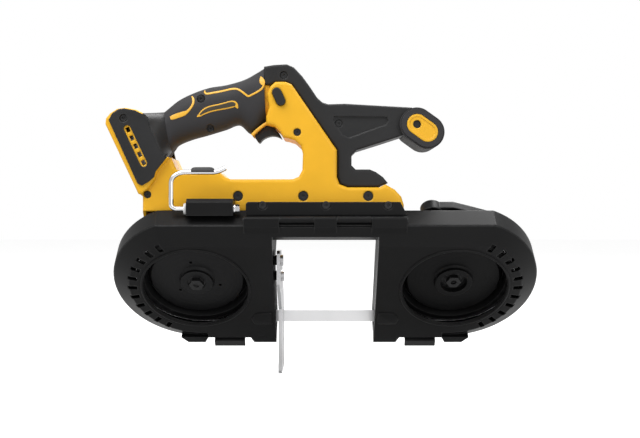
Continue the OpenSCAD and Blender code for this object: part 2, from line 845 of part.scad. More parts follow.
// Places of the two gear axes from the drive wheel's axis
lay_at = [-wheel_x + output_centre * cos(output_dir), output_centre * sin(output_dir)];
rotor_at = lay_at + motor_centre * [cos(motor_dir), sin(motor_dir)];
motor_gear_p = [-back_p - 22, -back_p - 15.5];
lay_shaft_r = 4;
lay_end_r = 3;
case_floor = -back_p - gear_case_len;

module output_gear() color(steel) slab() translate([-wheel_x, 0, 0])
  gear(output_module, output_teeth, output_p, spindle_r, output_dir);

module reduction_gear() color(steel) slab() translate([lay_at[0], lay_at[1], 0]) {
  gear(output_module, output_pinion_teeth, output_p, 0,
    output_dir + 180 + 180 / output_pinion_teeth);
  gear(motor_module, motor_gear_teeth, motor_gear_p, 0, motor_dir);
  translate([0, 0, motor_gear_p[1]]) cylinder(h = output_p[0] - motor_gear_p[1], r = lay_shaft_r);
  translate([0, 0, output_p[1]]) cylinder(h = -back_p + 2 - output_p[1], r = lay_end_r);
  translate([0, 0, case_floor + 1])
    cylinder(h = motor_gear_p[0] - case_floor - 1, r = lay_end_r);
}

// Outline of the gear case round the three axes
module case_outline(grow) {
  hull() {
    translate([-wheel_x, 0]) circle(output_module * output_teeth / 2 + 4.2 + grow);
    translate(lay_at) circle(motor_module * motor_gear_teeth / 2 + 4 + grow);
    translate(rotor_at) circle(motor_r + 3 + grow);
  }
}

module gear_case() color(dark) slab()
  difference() {
    translate([0, 0, case_floor]) linear_extrude(gear_case_len) case_outline(0);
    translate([0, 0, case_floor + 3]) linear_extrude(gear_case_len) case_outline(-2.5);
    translate([rotor_at[0], rotor_at[1], case_floor - 1]) cylinder(h = 10, r = rotor_bearing_r);
    translate([lay_at[0], lay_at[1], case_floor - 1]) cylinder(h = 10, r = lay_end_r + run_fit);
  }

// Motor

rotor_shaft_r = 2.5;
rotor_bearing_r = 8;
case_end = -motor_end_p;
stator_p = [case_end + 18, -back_p - gear_case_len - 5];

module motor_case() color(black) slab() translate([rotor_at[0], rotor_at[1], 0]) {
  difference() {
    translate([0, 0, case_end]) cylinder(h = motor_len - 0.02, r = motor_r + 3);
    translate([0, 0, case_end + 3]) cylinder(h = motor_len, r = motor_r);
    translate([0, 0, case_end - 1]) cylinder(h = 10, r = rotor_bearing_r - 2.6);
    for (i = [0 : 11])
      rotate(30 * i) translate([motor_r - 3, 0, case_end + 9]) cube([8, 4, 10], center = true);
  }
  translate([0, 0, case_end + 3])
    difference() {
      cylinder(h = 5, r = rotor_bearing_r + 2);
      translate([0, 0, -1]) cylinder(h = 7, r = rotor_bearing_r);
    }
}

module motor_stator() color([0.55, 0.35, 0.2]) slab() translate([rotor_at[0], rotor_at[1], 0])
  difference() {
    translate([0, 0, stator_p[0]]) cylinder(h = stator_p[1] - stator_p[0], r = motor_r);
    translate([0, 0, stator_p[0] - 1]) cylinder(h = 60, r = 12);
    for (i = [0 : 5])
      rotate(60 * i) translate([16.5, 0, stator_p[0] - 1]) cylinder(h = 60, r = 3.2, $fn = 24);
  }

module motor_rotor() color(steel) slab() translate([rotor_at[0], rotor_at[1], 0]) {
  gear(motor_module, motor_pinion_teeth, [motor_gear_p[0], motor_gear_p[1] + 0.6], 0,
    motor_dir + 180 + 180 / motor_pinion_teeth);
  translate([0, 0, case_end + 3.4])
    cylinder(h = motor_gear_p[0] + 0.1 - case_end - 3.4, r = rotor_shaft_r);
  translate([0, 0, stator_p[0] + 1])
    cylinder(h = stator_p[1] - stator_p[0] - 2, r = 11.6);
  translate([0, 0, case_end + 10]) cylinder(h = 6, r = 7);
  for (i = [0 : 8])
    rotate(40 * i) translate([6, -0.8, case_end + 10]) cube([16, 1.6, 6]);
}

// A ball bearing drawn as one ring with a groove in each face
module bearing(bore, r, w) {
  rotate_extrude()
    difference() {
      translate([bore, 0]) square([r - bore, w]);
      for (z = [-1, w - 0.6])
        translate([bore + (r - bore) * 0.3, z]) square([(r - bore) * 0.4, 1.6]);
    }
}

module gear_bearings() color(steel) slab() {
  translate([-wheel_x, 0, -10 - bearing_w]) bearing(spindle_r + run_fit, bearing_r, bearing_w);
  translate([rotor_at[0], rotor_at[1], 0]) {
    translate([0, 0, -back_p - gear_case_len - 2]) bearing(rotor_shaft_r + run_fit, rotor_bearing_r, 5);
    translate([0, 0, case_end + 3]) bearing(rotor_shaft_r + run_fit, rotor_bearing_r, 5);
  }
}

// Idler wheel and blade tension

carriage_plate_t = carriage_p[1] - carriage_p[0];
follower_r = 2;
cam_max = 14;
follower_x = lever_x + cam_max + follower_r + 0.3;
cam_p = [-back_p + frame_wall + 0.5, -13.8];

module tension_carriage() color(dark) slab() {
  translate([carriage_x[0], -carriage_half, carriage_p[0]])
    cube([carriage_x[1] - carriage_x[0], 2 * carriage_half, carriage_plate_t]);
  translate([follower_x, carriage_half - eps, carriage_p[0]])
    cube([8, lever_h - carriage_half - 8, carriage_plate_t]);
  translate([follower_x + follower_r - 2, lever_h - 9, carriage_p[0]])
    cube([6.5, 15, carriage_plate_t]);
  translate([follower_x, lever_h, carriage_p[0]]) cylinder(h = carriage_plate_t, r = follower_r);
  translate([wheel_x, 0, carriage_p[1] - eps]) cylinder(h = 3, r = spindle_r + 5);
}

idler_face_p = bearing_w / 2;

module idler_spindle() color(steel) slab() translate([wheel_x, 0, 0])
  difference() {
    union() {
      translate([0, 0, carriage_p[1] + 3 - eps])
        cylinder(h = idler_face_p - carriage_p[1] - 3 + eps, r = spindle_r);
      translate([0, 0, carriage_p[1] + 3 - eps])
        cylinder(h = -idler_face_p - carriage_p[1] - 3 + eps, r = spindle_r + 2);
      translate([0, 0, idler_face_p]) cylinder(h = 1, r = 8.6);
      translate([0, 0, idler_face_p + 1]) cylinder(h = 5, r = 7.5, $fn = 6);
    }
    translate([0, 0, idler_face_p + 3]) cylinder(h = 10, r = 3);
  }

module idler_bearing() color(steel) slab() translate([wheel_x, 0, -idler_face_p])
  bearing(spindle_r + run_fit, bearing_r - 1, bearing_w - 0.3);

spring_r = 3.6;
spring_p = (carriage_p[0] + carriage_p[1]) / 2 + 1;

module tension_spring() color(steel) slab()
  translate([wheel_x - 33, 0, spring_p]) rotate([0, 90, 0])
    difference() {
      cylinder(h = carriage_x[0] - wheel_x + 33 - 0.02, r = spring_r);
      translate([0, 0, 1]) cylinder(h = 40, r = spring_r - 1.6);
    }

// Radius of the lever's cam on the follower's side after a turn of a degrees
function cam_r(a) = cam_max - tension_travel * a / lever_turn;

module tension_lever() color(dark) slab() {
  grip_p = -back_p - 12;
  translate([lever_x, lever_h, grip_p - 4]) cylinder(h = 11.4, r = 11);
  translate([lever_x, lever_h, grip_p]) cylinder(h = cam_p[0] - grip_p + 0.1, r = lever_shaft_r);
  translate([lever_x, lever_h, grip_p - 4])
    linear_extrude(9)
      polygon([
        [-10, -1.5], [-7, -8], [0, -11], [16, -8], [lever_len - 2, -8], [lever_len, -3.2],
        [lever_len - 20, 3.5], [lever_len - 36, 8.5], [lever_len - 52, 8.5]
      ]);
  translate([lever_x, lever_h, cam_p[0]])
    linear_extrude(cam_p[1] - cam_p[0])
      polygon(concat(
        [for (a = [-20 : 5 : lever_turn + 15])
          cam_r(max(0, min(lever_turn, a))) * [cos(a), sin(a)]],
        [[-7, 1], [-6, -5], [2, -7]]
      ));
}

// Blade guides, upright in the throat's lobes

roller_y = blade_t / 2 + 0.15 + roller_r;
shelf_z = blade_z + blade_w / 2 + 0.4;

module guide_bracket(side) {
  wall_x = throat_x + frame_wall;
  mirror([side < 0 ? 1 : 0, 0, 0])
    difference() {
      union() {
        along_x(wall_x, wall_x + 3.5)
          polygon([
            [-13, shelf_z], [13, shelf_z], [9, shelf_z + 6], [-14, shelf_z + 28], [-28, shelf_z + 16]
          ]);
        translate([wall_x, -13, shelf_z]) cube([guide_x + roller_r - wall_x, 26, 6]);
      }
      for (m = [-1, 1])
        translate([guide_x, m * roller_y, shelf_z - 1]) cylinder(h = 10, r = roller_axle_r, $fn = 32);
    }
}

module guide_bracket_left() color([0.5, 0.5, 0.52]) placed() guide_bracket(-1);
module guide_bracket_right() color([0.5, 0.5, 0.52]) placed() guide_bracket(1);

module guide_axles() color(steel) placed()
  for (side = [-1, 1])
    for (m = [-1, 1])
      translate([side * guide_x, m * roller_y, shelf_z - 0.5 - roller_len - 1.6]) {
        cylinder(h = 1.2, r = roller_axle_r + 1.2, $fn = 32);
        cylinder(h = roller_len + 8, r = roller_axle_r, $fn = 32);
      }

module roller(side, m) color(steel) placed()
  translate([side * guide_x, m * roller_y, shelf_z - 0.3 - roller_len])
    difference() {
      cylinder(h = roller_len, r = roller_r, $fn = 64);
      translate([0, 0, -1]) cylinder(h = roller_len + 2, r = roller_axle_r + run_fit, $fn = 32);
    }

module roller_left_front() roller(-1, -1);
module roller_left_rear() roller(-1, 1);
module roller_right_front() roller(1, -1);
module roller_right_rear() roller(1, 1);

// Shoe: a steel plate square to the blade, slotted for it from below

shoe_x = -throat_x + shoe_stand;
shoe_neck = 66;

// Height over the plate of the pad that the work bears on, and of its top edge over the foot
shoe_pad = 0.4;
shoe_pad_top = 86;

module shoe_outline() {
  polygon([
    [-shoe_half, 3], [-shoe_half + 3, 0], [-shoe_slot, 0], [-shoe_slot, blade_z + 10],
    [shoe_slot, blade_z + 10], [shoe_slot, 0], [shoe_half - 3, 0], [shoe_half, 3],
    [shoe_half, shoe_neck - 4], [-8, shoe_top - 20], [-38, shoe_top], [-71, shoe_top],
    [-74, shoe_top - 3], [-74, shoe_neck + 28], [-shoe_half, shoe_neck]
  ]);
}

module work_shoe() color(steel) {
  placed()
    difference() {
      union() {
        along_x(shoe_x, shoe_x + shoe_t) shoe_outline();
        along_x(shoe_x + shoe_t - eps, shoe_x + shoe_t + shoe_pad)
          intersection() {
            shoe_outline();
            translate([-2 * shoe_half, 0]) square([4 * shoe_half, shoe_pad_top]);
          }
      }
      for (q = shoe_points)
        translate([shoe_x - 1, slab_y - q[0] * sin(tilt) - q[1] * cos(tilt),
          slab_z + q[0] * cos(tilt) - q[1] * sin(tilt)])
          rotate([0, 90, 0]) cylinder(h = shoe_t + 2, r = shoe_screw_r + 0.2);
    }
}

module shoe_screws() color(steel) slab()
  for (q = shoe_points)
    translate([shoe_x + shoe_t, q[0], q[1]]) rotate([0, 90, 0])
      difference() {
        union() {
          cylinder(h = 2.6, r = 5.6);
          translate([0, 0, -shoe_t - shoe_stand - 6])
            cylinder(h = shoe_t + shoe_stand + 6, r = shoe_screw_r);
        }
        translate([0, 0, 1]) cylinder(h = 2, r = 2, $fn = 6);
      }

// Housing outlines, counterclockwise in the saw's front view

// Yellow body: the rail on the frame, the column beside the trigger and the battery foot
foot_edge = [[-215, 251.5], [-184.5, 187]];
body_pts = [
  [-179, housing_base], [77, housing_base], [77, 172], [74.5, 180], [68, 187], [59, 192], [53, 189],
  [22, 189], [14, 192], [11.4, 199], [11.4, 225.5], [-33, 290], [-39, 292.5], [-49, 292.5],
  [-54, 288], [-57, 280], [-55, 268], [-58, 258], [-58, 251], [-50, 249], [-45, 244.5],
  [-41, 238], [-36, 237], [-30, 235],
  [-24, 229.5], [-22, 222], [-22.5, 206], [-26, 199.5], [-32, 197], [-93, 197], [-98, 199],
  [-104, 204], [-141, 203.5], [-146, 207], [-151, 218], [-156, 218], [-170, 248], [-171, 257],
  [-176, 260.5], [-184, 264.5], [-195, 266.5], [-203, 265.5], [-210, 261], [-214, 256],
  [-214.5, 250.5], foot_edge[1], [-182, 182.5], [-179, 180]
];

// The battery foot stands out thicker than the rest of the housing
foot_pts = [
  [-179.5, 181.5], [-176, 182.5], [-166, 196], [-164, 204], [-151.8, 218], [-156, 219.2], [-170, 248],
  [-171, 257], [-176, 260.5], [-184, 264.5], [-195, 266.5], [-203, 265.5], [-210, 261],
  [-214, 256], [-214.5, 250.5], foot_edge[1], [-182.5, 182.5]
];

// Upper and lower edge of the rear handle, from the battery foot to the trigger
grip_rows = [
  [[-171, 256.5], [-156.2, 219]], [[-158, 267.5], [-152, 226]], [[-146, 277], [-147, 232]],
  [[-132, 284], [-134, 237.5]], [[-116, 289.5], [-118, 242]], [[-98, 292.5], [-100, 247.5]],
  [[-81, 297.5], [-86, 252]], [[-69, 304], [-73.2, 243.2]], [[-61, 309], [-58.8, 256.2]]
];

// Front arm: the hump over the trigger, the brace down to the rail and the arm to its end
arm_pts = [
  [11.8, 199], [14.4, 192.4], [22.2, 189.4], [53, 189.4], [59, 192.4], [62, 193.5], [57, 199.5],
  [50, 204.5], [44, 207], [30, 207], [26, 211], [26, 221], [31, 226], [55, 233.5], [78, 241],
  [84, 252], [86, 268.3], [41, 270.8], [20, 272], [3, 271.5], [-3, 273.5], [-8, 278], [-15, 288.5],
  [-23, 299.5], [-31, 308], [-38, 311], [-51, 310.3], [-60.6, 308.6], [-60.1, 291],
  [-55, 290.2], [-49.2, 292.9], [-39, 292.9], [-32.8, 290.3], [11.8, 225.7]
];
pill_at = [95, 247];
pill_dir = [0.81, -0.58];

edge_round = 3;
arm_round = 2;
core_gap = 0.15;
core_wall = 2.4;

// Screws that hold the halves together: x, z, depth of the surface and radius of the head
rail_screws = [for (x = [-85.5, -21.6, 42]) [x, 180.5, housing_half, rail_screw_r]];
body_screw_at = [
  [-174, 182, housing_half, screw_r], [-27.5, 243, housing_half, screw_r],
  [-196.1, 256, foot_half - foot_cover_t, screw_r], each rail_screws
];
grip_screw_at = [[-123, 277, 16.4, screw_r], [-114, 248, 11.6, 2.9]];
arm_screw_at = [[-41, 300, arm_half, screw_r], [13.3, 252.6, arm_half - 2, screw_r]];
counterbore = 4;
boss_wall = 1.6;
shank_r = 1.8;

// Half of the rear handle, drawn in by d, its ends moved out by over
module grip_loft(half, d, over) {
  m = 12;
  rows = len(grip_rows);
  bulge = 0.8;
  ends = [
    for (j = [0 : rows - 1])
      let (
        t = grip_rows[j][0],
        b = grip_rows[j][1],
        n = unit(t - b),
        along = [n[1], -n[0]] * (j == 0 ? -over : (j == rows - 1 ? over : 0))
      )
      [t - n * d + along, b + n * d + along]
  ];
  verts = [
    for (e = ends) for (k = [0 : m])
      let (
        c = cos(180 * k / m),
        q = sign(c) * pow(abs(c), bulge),
        at = (e[0] + e[1]) / 2 + (e[0] - e[1]) / 2 * q,
        z = k == 0 || k == m ? 0 : (half - d) * pow(sin(180 * k / m), bulge)
      )
      [at[0], at[1], z]
  ];
  w = m + 1;
  skin = [
    for (j = [0 : rows - 2]) for (k = [0 : m - 1])
      each [
        [j * w + k, (j + 1) * w + k, (j + 1) * w + k + 1],
        [j * w + k, (j + 1) * w + k + 1, j * w + k + 1]
      ]
  ];
  back = [for (j = [0 : rows - 2]) [j * w, j * w + m, (j + 1) * w + m, (j + 1) * w]];
  cap0 = [[for (k = [0 : m]) k]];
  cap1 = [[for (k = [m : -1 : 0]) (rows - 1) * w + k]];
  polyhedron(verts, concat(skin, back, cap0, cap1));
}

// The battery foot's edge frame: x down the edge, y into the foot, z forwards
module at_foot_edge() {
  run = foot_edge[1] - foot_edge[0];
  translate([foot_edge[0][0], foot_edge[0][1], 0]) rotate(atan2(run[1], run[0])) children();
}

rail_len = 62;
rail_half = 23;
rail_deep = 15;

module receiver_opening(grow) {
  at_foot_edge()
    translate([4 - grow, -2, -rail_half - grow])
      cube([rail_len + 2 * grow, rail_deep + 2 + grow, 2 * (rail_half + grow)]);
}

// The trigger's outline, and the way it moves when it is pulled
trigger_pts = [
  [-71, 240.6], [-66, 233], [-63, 237.5], [-57.5, 240.5], [-51.5, 241.5], [-46, 240], [-42.6, 237.6],
  [-46, 244], [-50.5, 248.4], [-53, 252], [-62, 252], [-64, 246.4]
];
trigger_dir = [-0.34, 0.94];

module trigger_path(grow) {
  offset(delta = grow)
    for (k = [0 : 0.25 : 1])
      translate(trigger_dir * (trigger_travel + 1) * k) polygon(trigger_pts);
}

switch_box = [[-74, 262.5], [-52, 284]];
switch_half = 9;

lock_at = [-45.5, 277.5];
lock_dir = [0.42, -0.907];

module lock_outline(grow) {
  translate(lock_at) obround(4.6, 4.4 + grow, lock_dir);
}

// Space inside the housing half, with the core of the handle
module housing_space() {
  translate([0, 0, -eps]) linear_extrude(housing_half - housing_wall + eps)
    offset(delta = -housing_wall) polygon(body_pts);
  translate([0, 0, -eps]) linear_extrude(foot_half - foot_cover_t - housing_wall + eps)
    offset(delta = -housing_wall) polygon(foot_pts);
}

module housing_form() {
  difference() {
    union() {
      rounded_plate(body_pts, housing_half, edge_round);
      rounded_plate(foot_pts, foot_half - foot_cover_t, edge_round);
      grip_loft(grip_half, grip_skin + core_gap, 5);
    }
    housing_space();
    grip_loft(grip_half, grip_skin + core_gap + core_wall, 12);
  }
  for (q = body_screw_at)
    translate([q[0], q[1], 0]) cylinder(h = q[2] - counterbore + 1.5, r = q[3] + boss_wall);
  intersection() {
    grip_loft(grip_half, grip_skin + core_gap, 5);
    for (q = grip_screw_at)
      translate([q[0], q[1], 0]) cylinder(h = q[2], r = q[3] + boss_wall);
  }
}

// Cuts that both halves of the housing share
module housing_cuts() {
  translate([0, 0, -eps]) linear_extrude(60) offset(delta = core_gap) polygon(arm_pts);
  translate([0, 0, -eps]) linear_extrude(trigger_w / 2 + gap + eps) trigger_path(gap);
  translate([0, 0, -eps]) linear_extrude(60) lock_outline(0.3);
  receiver_opening(0.2);
  translate([switch_box[0][0] - 0.2, switch_box[0][1] - 0.2, -eps])
    cube([
      switch_box[1][0] - switch_box[0][0] + 0.4,
      switch_box[1][1] - switch_box[0][1] + 0.4,
      switch_half + 0.2 + eps
    ]);
  for (i = [-2 : 2])
    at_foot_edge() translate([vent_mid[0] + i * vent_gap, vent_mid[1], 0])
      cube([5, 3.8, 90], center = true);
}

// The row of five vents in the battery foot, in the foot edge's frame
vent_mid = [33.5, 18];
vent_gap = 8.85;

module housing(front) {
  color(yellow) placed() difference() {
    seated() translate([0, mid_y, 0]) rotate([90, 0, 0]) mirror([0, 0, front ? 0 : 1])
      difference() {
        housing_form();
        housing_cuts();
        for (q = concat(body_screw_at, grip_screw_at))
          screw_bore(q, front);
      }
    frame_envelope(0);
    for (x = flange_screw_x_all)
      seated() translate([x, flange_y[0], flange_screw_z]) rotate([-90, 0, 0])
        cylinder(h = flange_y[1] - flange_y[0] + 9, r = flange_shank_r);
    if (!front)
      case_room();
  }
}

// Room behind the frame for the gear case, undone from the slab's frame
module case_room() {
  translate([0, slab_y, slab_z]) rotate([90 + tilt, 0, 0])
    translate([0, 0, case_floor - gap]) linear_extrude(gear_case_len + gap) case_outline(gap);
}

// The bore of a screw: clear in the front half, with its counterbore, and threaded in the rear one
module screw_bore(q, front) {
  translate([q[0], q[1], 0])
    if (front) {
      translate([0, 0, q[2] - counterbore]) cylinder(h = 30, r = q[3] + gap);
      translate([0, 0, -1]) cylinder(h = 60, r = shank_r + 0.2, $fn = 24);
    } else
      translate([0, 0, -1]) cylinder(h = screw_reach + 1.2, r = shank_r, $fn = 24);
}

screw_reach = 9;

// A pan headed screw with a six sided socket, whose head lies sunk in its counterbore
module housing_screw(q) {
  top = q[2] - 1.2;
  translate([q[0], q[1], 0])
    difference() {
      union() {
        translate([0, 0, q[2] - counterbore]) cylinder(h = counterbore - 1.2, r = q[3]);
        translate([0, 0, -screw_reach])
          cylinder(h = q[2] - counterbore + screw_reach + eps, r = shank_r, $fn = 24);
      }
      translate([0, 0, top - 1.4]) cylinder(h = 2, r = 1.5, $fn = 6);
    }
}

module body_screws() color(dark) upright() {
  for (q = concat(body_screw_at, grip_screw_at, arm_screw_at))
    housing_screw(q);
}

module housing_front() housing(true);
module housing_rear() housing(false);

// Grip skins

module grip_cover(front) {
  color(dark) upright() mirror([0, 0, front ? 0 : 1])
    difference() {
      grip_loft(grip_half, 0, 0);
      grip_loft(grip_half, grip_skin, 6);
      translate([0, 0, -eps]) linear_extrude(trigger_w / 2 + gap + eps) trigger_path(gap);
      for (q = grip_screw_at)
        translate([q[0], q[1], 0]) cylinder(h = 40, r = q[3] + gap);
    }
}

module grip_front() grip_cover(true);
module grip_rear() grip_cover(false);

// Front arm with the hand hold at its end

arm_wall = 2.8;
pocket_deep = 2.4;
pocket_pts = [[23.7, 238], [60.3, 251.2], [62.4, 255.4], [61, 258.8], [8.4, 259.5], [7.7, 255.4], [16.7, 240.8]];
core_r = pill_r - 4;

module pill(r, half_len) {
  linear_extrude(half_len) translate(pill_at) obround(pill_half, r, pill_dir);
}

module arm(front) {
  color(black) upright() mirror([0, 0, front ? 0 : 1])
    difference() {
      union() {
        difference() {
          union() {
            rounded_plate(arm_pts, arm_half, arm_round);
            pill(core_r, pill_len - 3);
          }
          translate([0, 0, -eps]) linear_extrude(arm_half - arm_wall + eps)
            offset(delta = -arm_wall) polygon(arm_pts);
          translate([0, 0, -eps]) pill(core_r - 2.6, pill_len - 6);
        }
        for (q = arm_screw_at)
          translate([q[0], q[1], 0]) cylinder(h = q[2] - counterbore + 1.5, r = q[3] + boss_wall);
        translate([0, 0, arm_half - 2 * arm_wall])
          linear_extrude(arm_wall + eps) offset(delta = arm_wall) polygon(pocket_pts);
      }
      translate([0, 0, arm_half - pocket_deep]) linear_extrude(10) polygon(pocket_pts);
      for (q = arm_screw_at)
        screw_bore(q, front);
    }
}

module arm_front() arm(true);
module arm_rear() arm(false);

module assist_sleeve() color(black) upright() {
  difference() {
    union()
      for (m = [0, 1])
        mirror([0, 0, m]) {
          pill(pill_r, pill_len - 2);
          translate([0, 0, pill_len - 2 - eps]) pill(pill_r - 1.5, 2 + eps);
        }
    for (m = [0, 1])
      mirror([0, 0, m]) {
        translate([0, 0, -eps]) pill(core_r + 0.1, pill_len - 2.9);
        pill(cap_r + 0.1, pill_len + 5);
        translate([0, 0, -eps]) linear_extrude(arm_half + 0.2) offset(delta = 0.2) polygon(arm_pts);
      }
  }
}

module assist_cap(front) {
  color(yellow) upright() mirror([0, 0, front ? 0 : 1])
    difference() {
      union() {
        translate([0, 0, pill_len - 2.95]) pill(cap_r, 2.5);
        translate([0, 0, pill_len - 0.45 - eps])
          linear_extrude(0.7) difference() {
            translate(pill_at) obround(pill_half, cap_r - 0.3, pill_dir);
            translate(pill_at) obround(pill_half, cap_r - 2.6, pill_dir);
          }
      }
      translate([pill_at[0] - pill_half * pill_dir[0], pill_at[1] - pill_half * pill_dir[1], 0])
        cylinder(h = 60, r = 4);
    }
}

module assist_cap_front() assist_cap(true);
module assist_cap_rear() assist_cap(false);

// Battery foot

foot_cover_pts = [
  [-182.3, 192.5], [-178, 190.5], [-171, 194.6], [-166.3, 198.8], [-165, 204], [-154.5, 217.4],
  [-157.3, 219], [-171.2, 248.4], [-172.4, 256], [-177, 259.5], [-184.6, 263.4], [-195, 265.4],
  [-201, 264.6], [-207, 260.5], [-210.3, 254]
];

module foot_cover(front) {
  color(black) upright() mirror([0, 0, front ? 0 : 1])
    translate([0, 0, foot_half - foot_cover_t])
      difference() {
        linear_extrude(foot_cover_t) polygon(foot_cover_pts);
        translate([0, 0, -1]) linear_extrude(6)
          at_foot_edge() translate(vent_mid) obround(2 * vent_gap + 1, 3.4);
        translate([body_screw_at[2][0], body_screw_at[2][1], -1]) cylinder(h = 6, r = screw_r + gap);
      }
}

module foot_cover_front() foot_cover(true);
module foot_cover_rear() foot_cover(false);

// Receiver for the battery: a block with a channel, undercut on both sides
module battery_rail() color(black) upright() at_foot_edge()
  difference() {
    translate([4, 0.2, -rail_half]) cube([rail_len, rail_deep - 0.2, 2 * rail_half]);
    translate([3, -1, -14]) cube([rail_len - 3, 10, 28]);
    translate([3, 4.6, -18]) cube([rail_len - 3, 4.4, 36]);
    for (i = [-2 : 2])
      translate([16, 8, 5 * i - 0.5]) cube([24, 5, 1]);
  }

module terminal_blades() color([0.8, 0.6, 0.25]) upright() at_foot_edge()
  for (i = [-2 : 2])
    translate([16, 2.5, 5 * i - 0.5]) cube([24, 10.5, 1]);

module switch_module() color(black) upright()
  translate([switch_box[0][0], switch_box[0][1], -switch_half])
    cube([
      switch_box[1][0] - switch_box[0][0],
      switch_box[1][1] - switch_box[0][1],
      2 * switch_half
    ]);

// Board on the posts of two of the rail's screws, with the heat sink and capacitors on it
module control_board() color([0.1, 0.35, 0.2]) upright() {
  left = rail_screws[0][0];
  right = rail_screws[1][0];
  base = rail_screws[0][1] + rail_screw_r + boss_wall + 0.3;
  translate([left, base, -16]) cube([right - left, 1.6, 32]);
  translate([left + 12, base + 1.6 - eps, -12]) cube([14, 4.5, 24]);
  for (i = [0 : 2])
    translate([left + 36 + 7 * i, base + 1.6 - eps, 0])
      rotate([-90, 0, 0]) cylinder(h = 4.5, r = 2.8, $fn = 24);
}

module trigger() color(black) upright()
  translate([0, 0, -trigger_w / 2]) linear_extrude(trigger_w) polygon(trigger_pts);

module trigger_spring() color(steel) upright()
  translate([-57.5, 253.1, 0]) rotate([-90, 0, 20])
    difference() {
      cylinder(h = 9, r = 2.6, $fn = 24);
      translate([0, 0, -1]) cylinder(h = 20, r = 1.8, $fn = 24);
    }

// Lock button: it slides right through both halves
module lock_button() color(black) upright()
  translate([0, 0, -housing_half - 0.4])
    linear_extrude(2 * housing_half + 0.4 + lock_travel - 0.6) lock_outline(0);

// Hook

hook_y = -90;
hook_left = -147.8;
holder_x = [-132.5, -88];

// A round bar from a to b with a round joint at b
module wire(a, b) {
  d = b - a;
  translate([a[0], hook_y, a[1]]) rotate([0, atan2(d[0], d[1]), 0]) cylinder(h = norm(d), r = hook_r, $fn = 32);
  translate([b[0], hook_y, b[1]]) sphere(hook_r + 0.03, $fn = 32);
}

module hook_wire() color(steel) placed() seated() {
  top = hook_z + hook_rise;
  path = [
    [holder_x[1] + 6, hook_z], [hook_left + 4.3, hook_z], [hook_left, hook_z + 4.3],
    [hook_left, top - 6.5], [hook_left + 2.6, top - 4], [hook_left + 10, top],
    [hook_left + hook_arm, top], [hook_left + hook_arm + 8.5, top + 4.2]
  ];
  for (i = [0 : len(path) - 2])
    wire(path[i], path[i + 1]);
  translate([holder_x[0] - 3.2, hook_y, hook_z]) rotate([0, 90, 0]) cylinder(h = 2.8, r = hook_r + 3);
}

module hook_nut() color(steel) placed() seated()
  translate([holder_x[1] + 0.4, hook_y, hook_z]) rotate([0, 90, 0])
    difference() {
      union() {
        cylinder(h = 1.4, r = 4.6);
        translate([0, 0, 1.4]) cylinder(h = 4, r = 4.4, $fn = 6);
      }
      translate([0, 0, -1]) cylinder(h = 10, r = hook_r);
    }

module hook_rest() color(black) placed() seated()
  translate([-128.5, hook_y, hook_z + hook_rise])
    rotate([0, 90, 0])
      difference() {
        intersection() {
          cylinder(h = 22, r = hook_r + 2.6);
          translate([-8, -8, 0]) cube([8 + 0.5, 16, 22]);
        }
        translate([0, 0, -1]) cylinder(h = 24, r = hook_r);
      }

module hook_holder() color(black) placed()
  difference() {
    seated() difference() {
      translate([holder_x[0], 0, 0]) rotate([90, 0, 90])
        linear_extrude(holder_x[1] - holder_x[0])
          polygon([
            [-98, 161], [-70, 161], [flange_y[1], 177.4], [-94.5, 177.4], [-98, 173.9]
          ]);
      translate([-300, flange_y[1], 150]) cube([600, 60, 60]);
      translate([holder_x[0] - 1, hook_y, hook_z])
        rotate([0, 90, 0]) cylinder(h = 60, r = hook_r + run_fit);
    }
    frame_envelope(0);
  }

frame_deck();
bridge_flange();
flange_screws();
hinge_pin();
saw_blade();
guide_bracket_left();
guide_bracket_right();
guide_axles();
work_shoe();
shoe_screws();
housing_front();
housing_rear();
grip_front();
grip_rear();
arm_front();
arm_rear();
assist_sleeve();
assist_cap_front();
assist_cap_rear();
foot_cover_front();
foot_cover_rear();
battery_rail();
terminal_blades();
switch_module();
control_board();
body_screws();
gear_case();
motor_case();
motor_stator();
gear_bearings();
hook_holder();
wheel_cover();
cover_latch_left();
cover_latch_right();
drive_wheel();
drive_tyre();
drive_spindle();
drive_bolt();
output_gear();
idler_wheel();
idler_tyre();
idler_bearing();
tension_carriage();
idler_spindle();
tension_spring();
tension_lever();
reduction_gear();
motor_rotor();
trigger();
trigger_spring();
lock_button();
hook_wire();
hook_nut();
hook_rest();
roller_left_front();
roller_left_rear();
roller_right_front();
roller_right_rear();
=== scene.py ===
"""Finish, lights and camera for the portable band saw.

The solids of the saw are loaded as a fixed frame. This script dresses every
one of them with a procedural finish and adds the pieces whose look needs more
than the solids hold: the soft skin of the rear handle with its coloured lines,
the smooth hook, the trigger, the lips round the wheel windows and so on.

Drawing sizes are millimetres in the saw's own axes: X runs along the saw, Y is
the depth behind the blade and Z is up from the foot of the shoe.
"""

import json
import logging
import math
from dataclasses import dataclass, field
from enum import Enum
from typing import Callable, Mapping, Optional, Sequence, Union

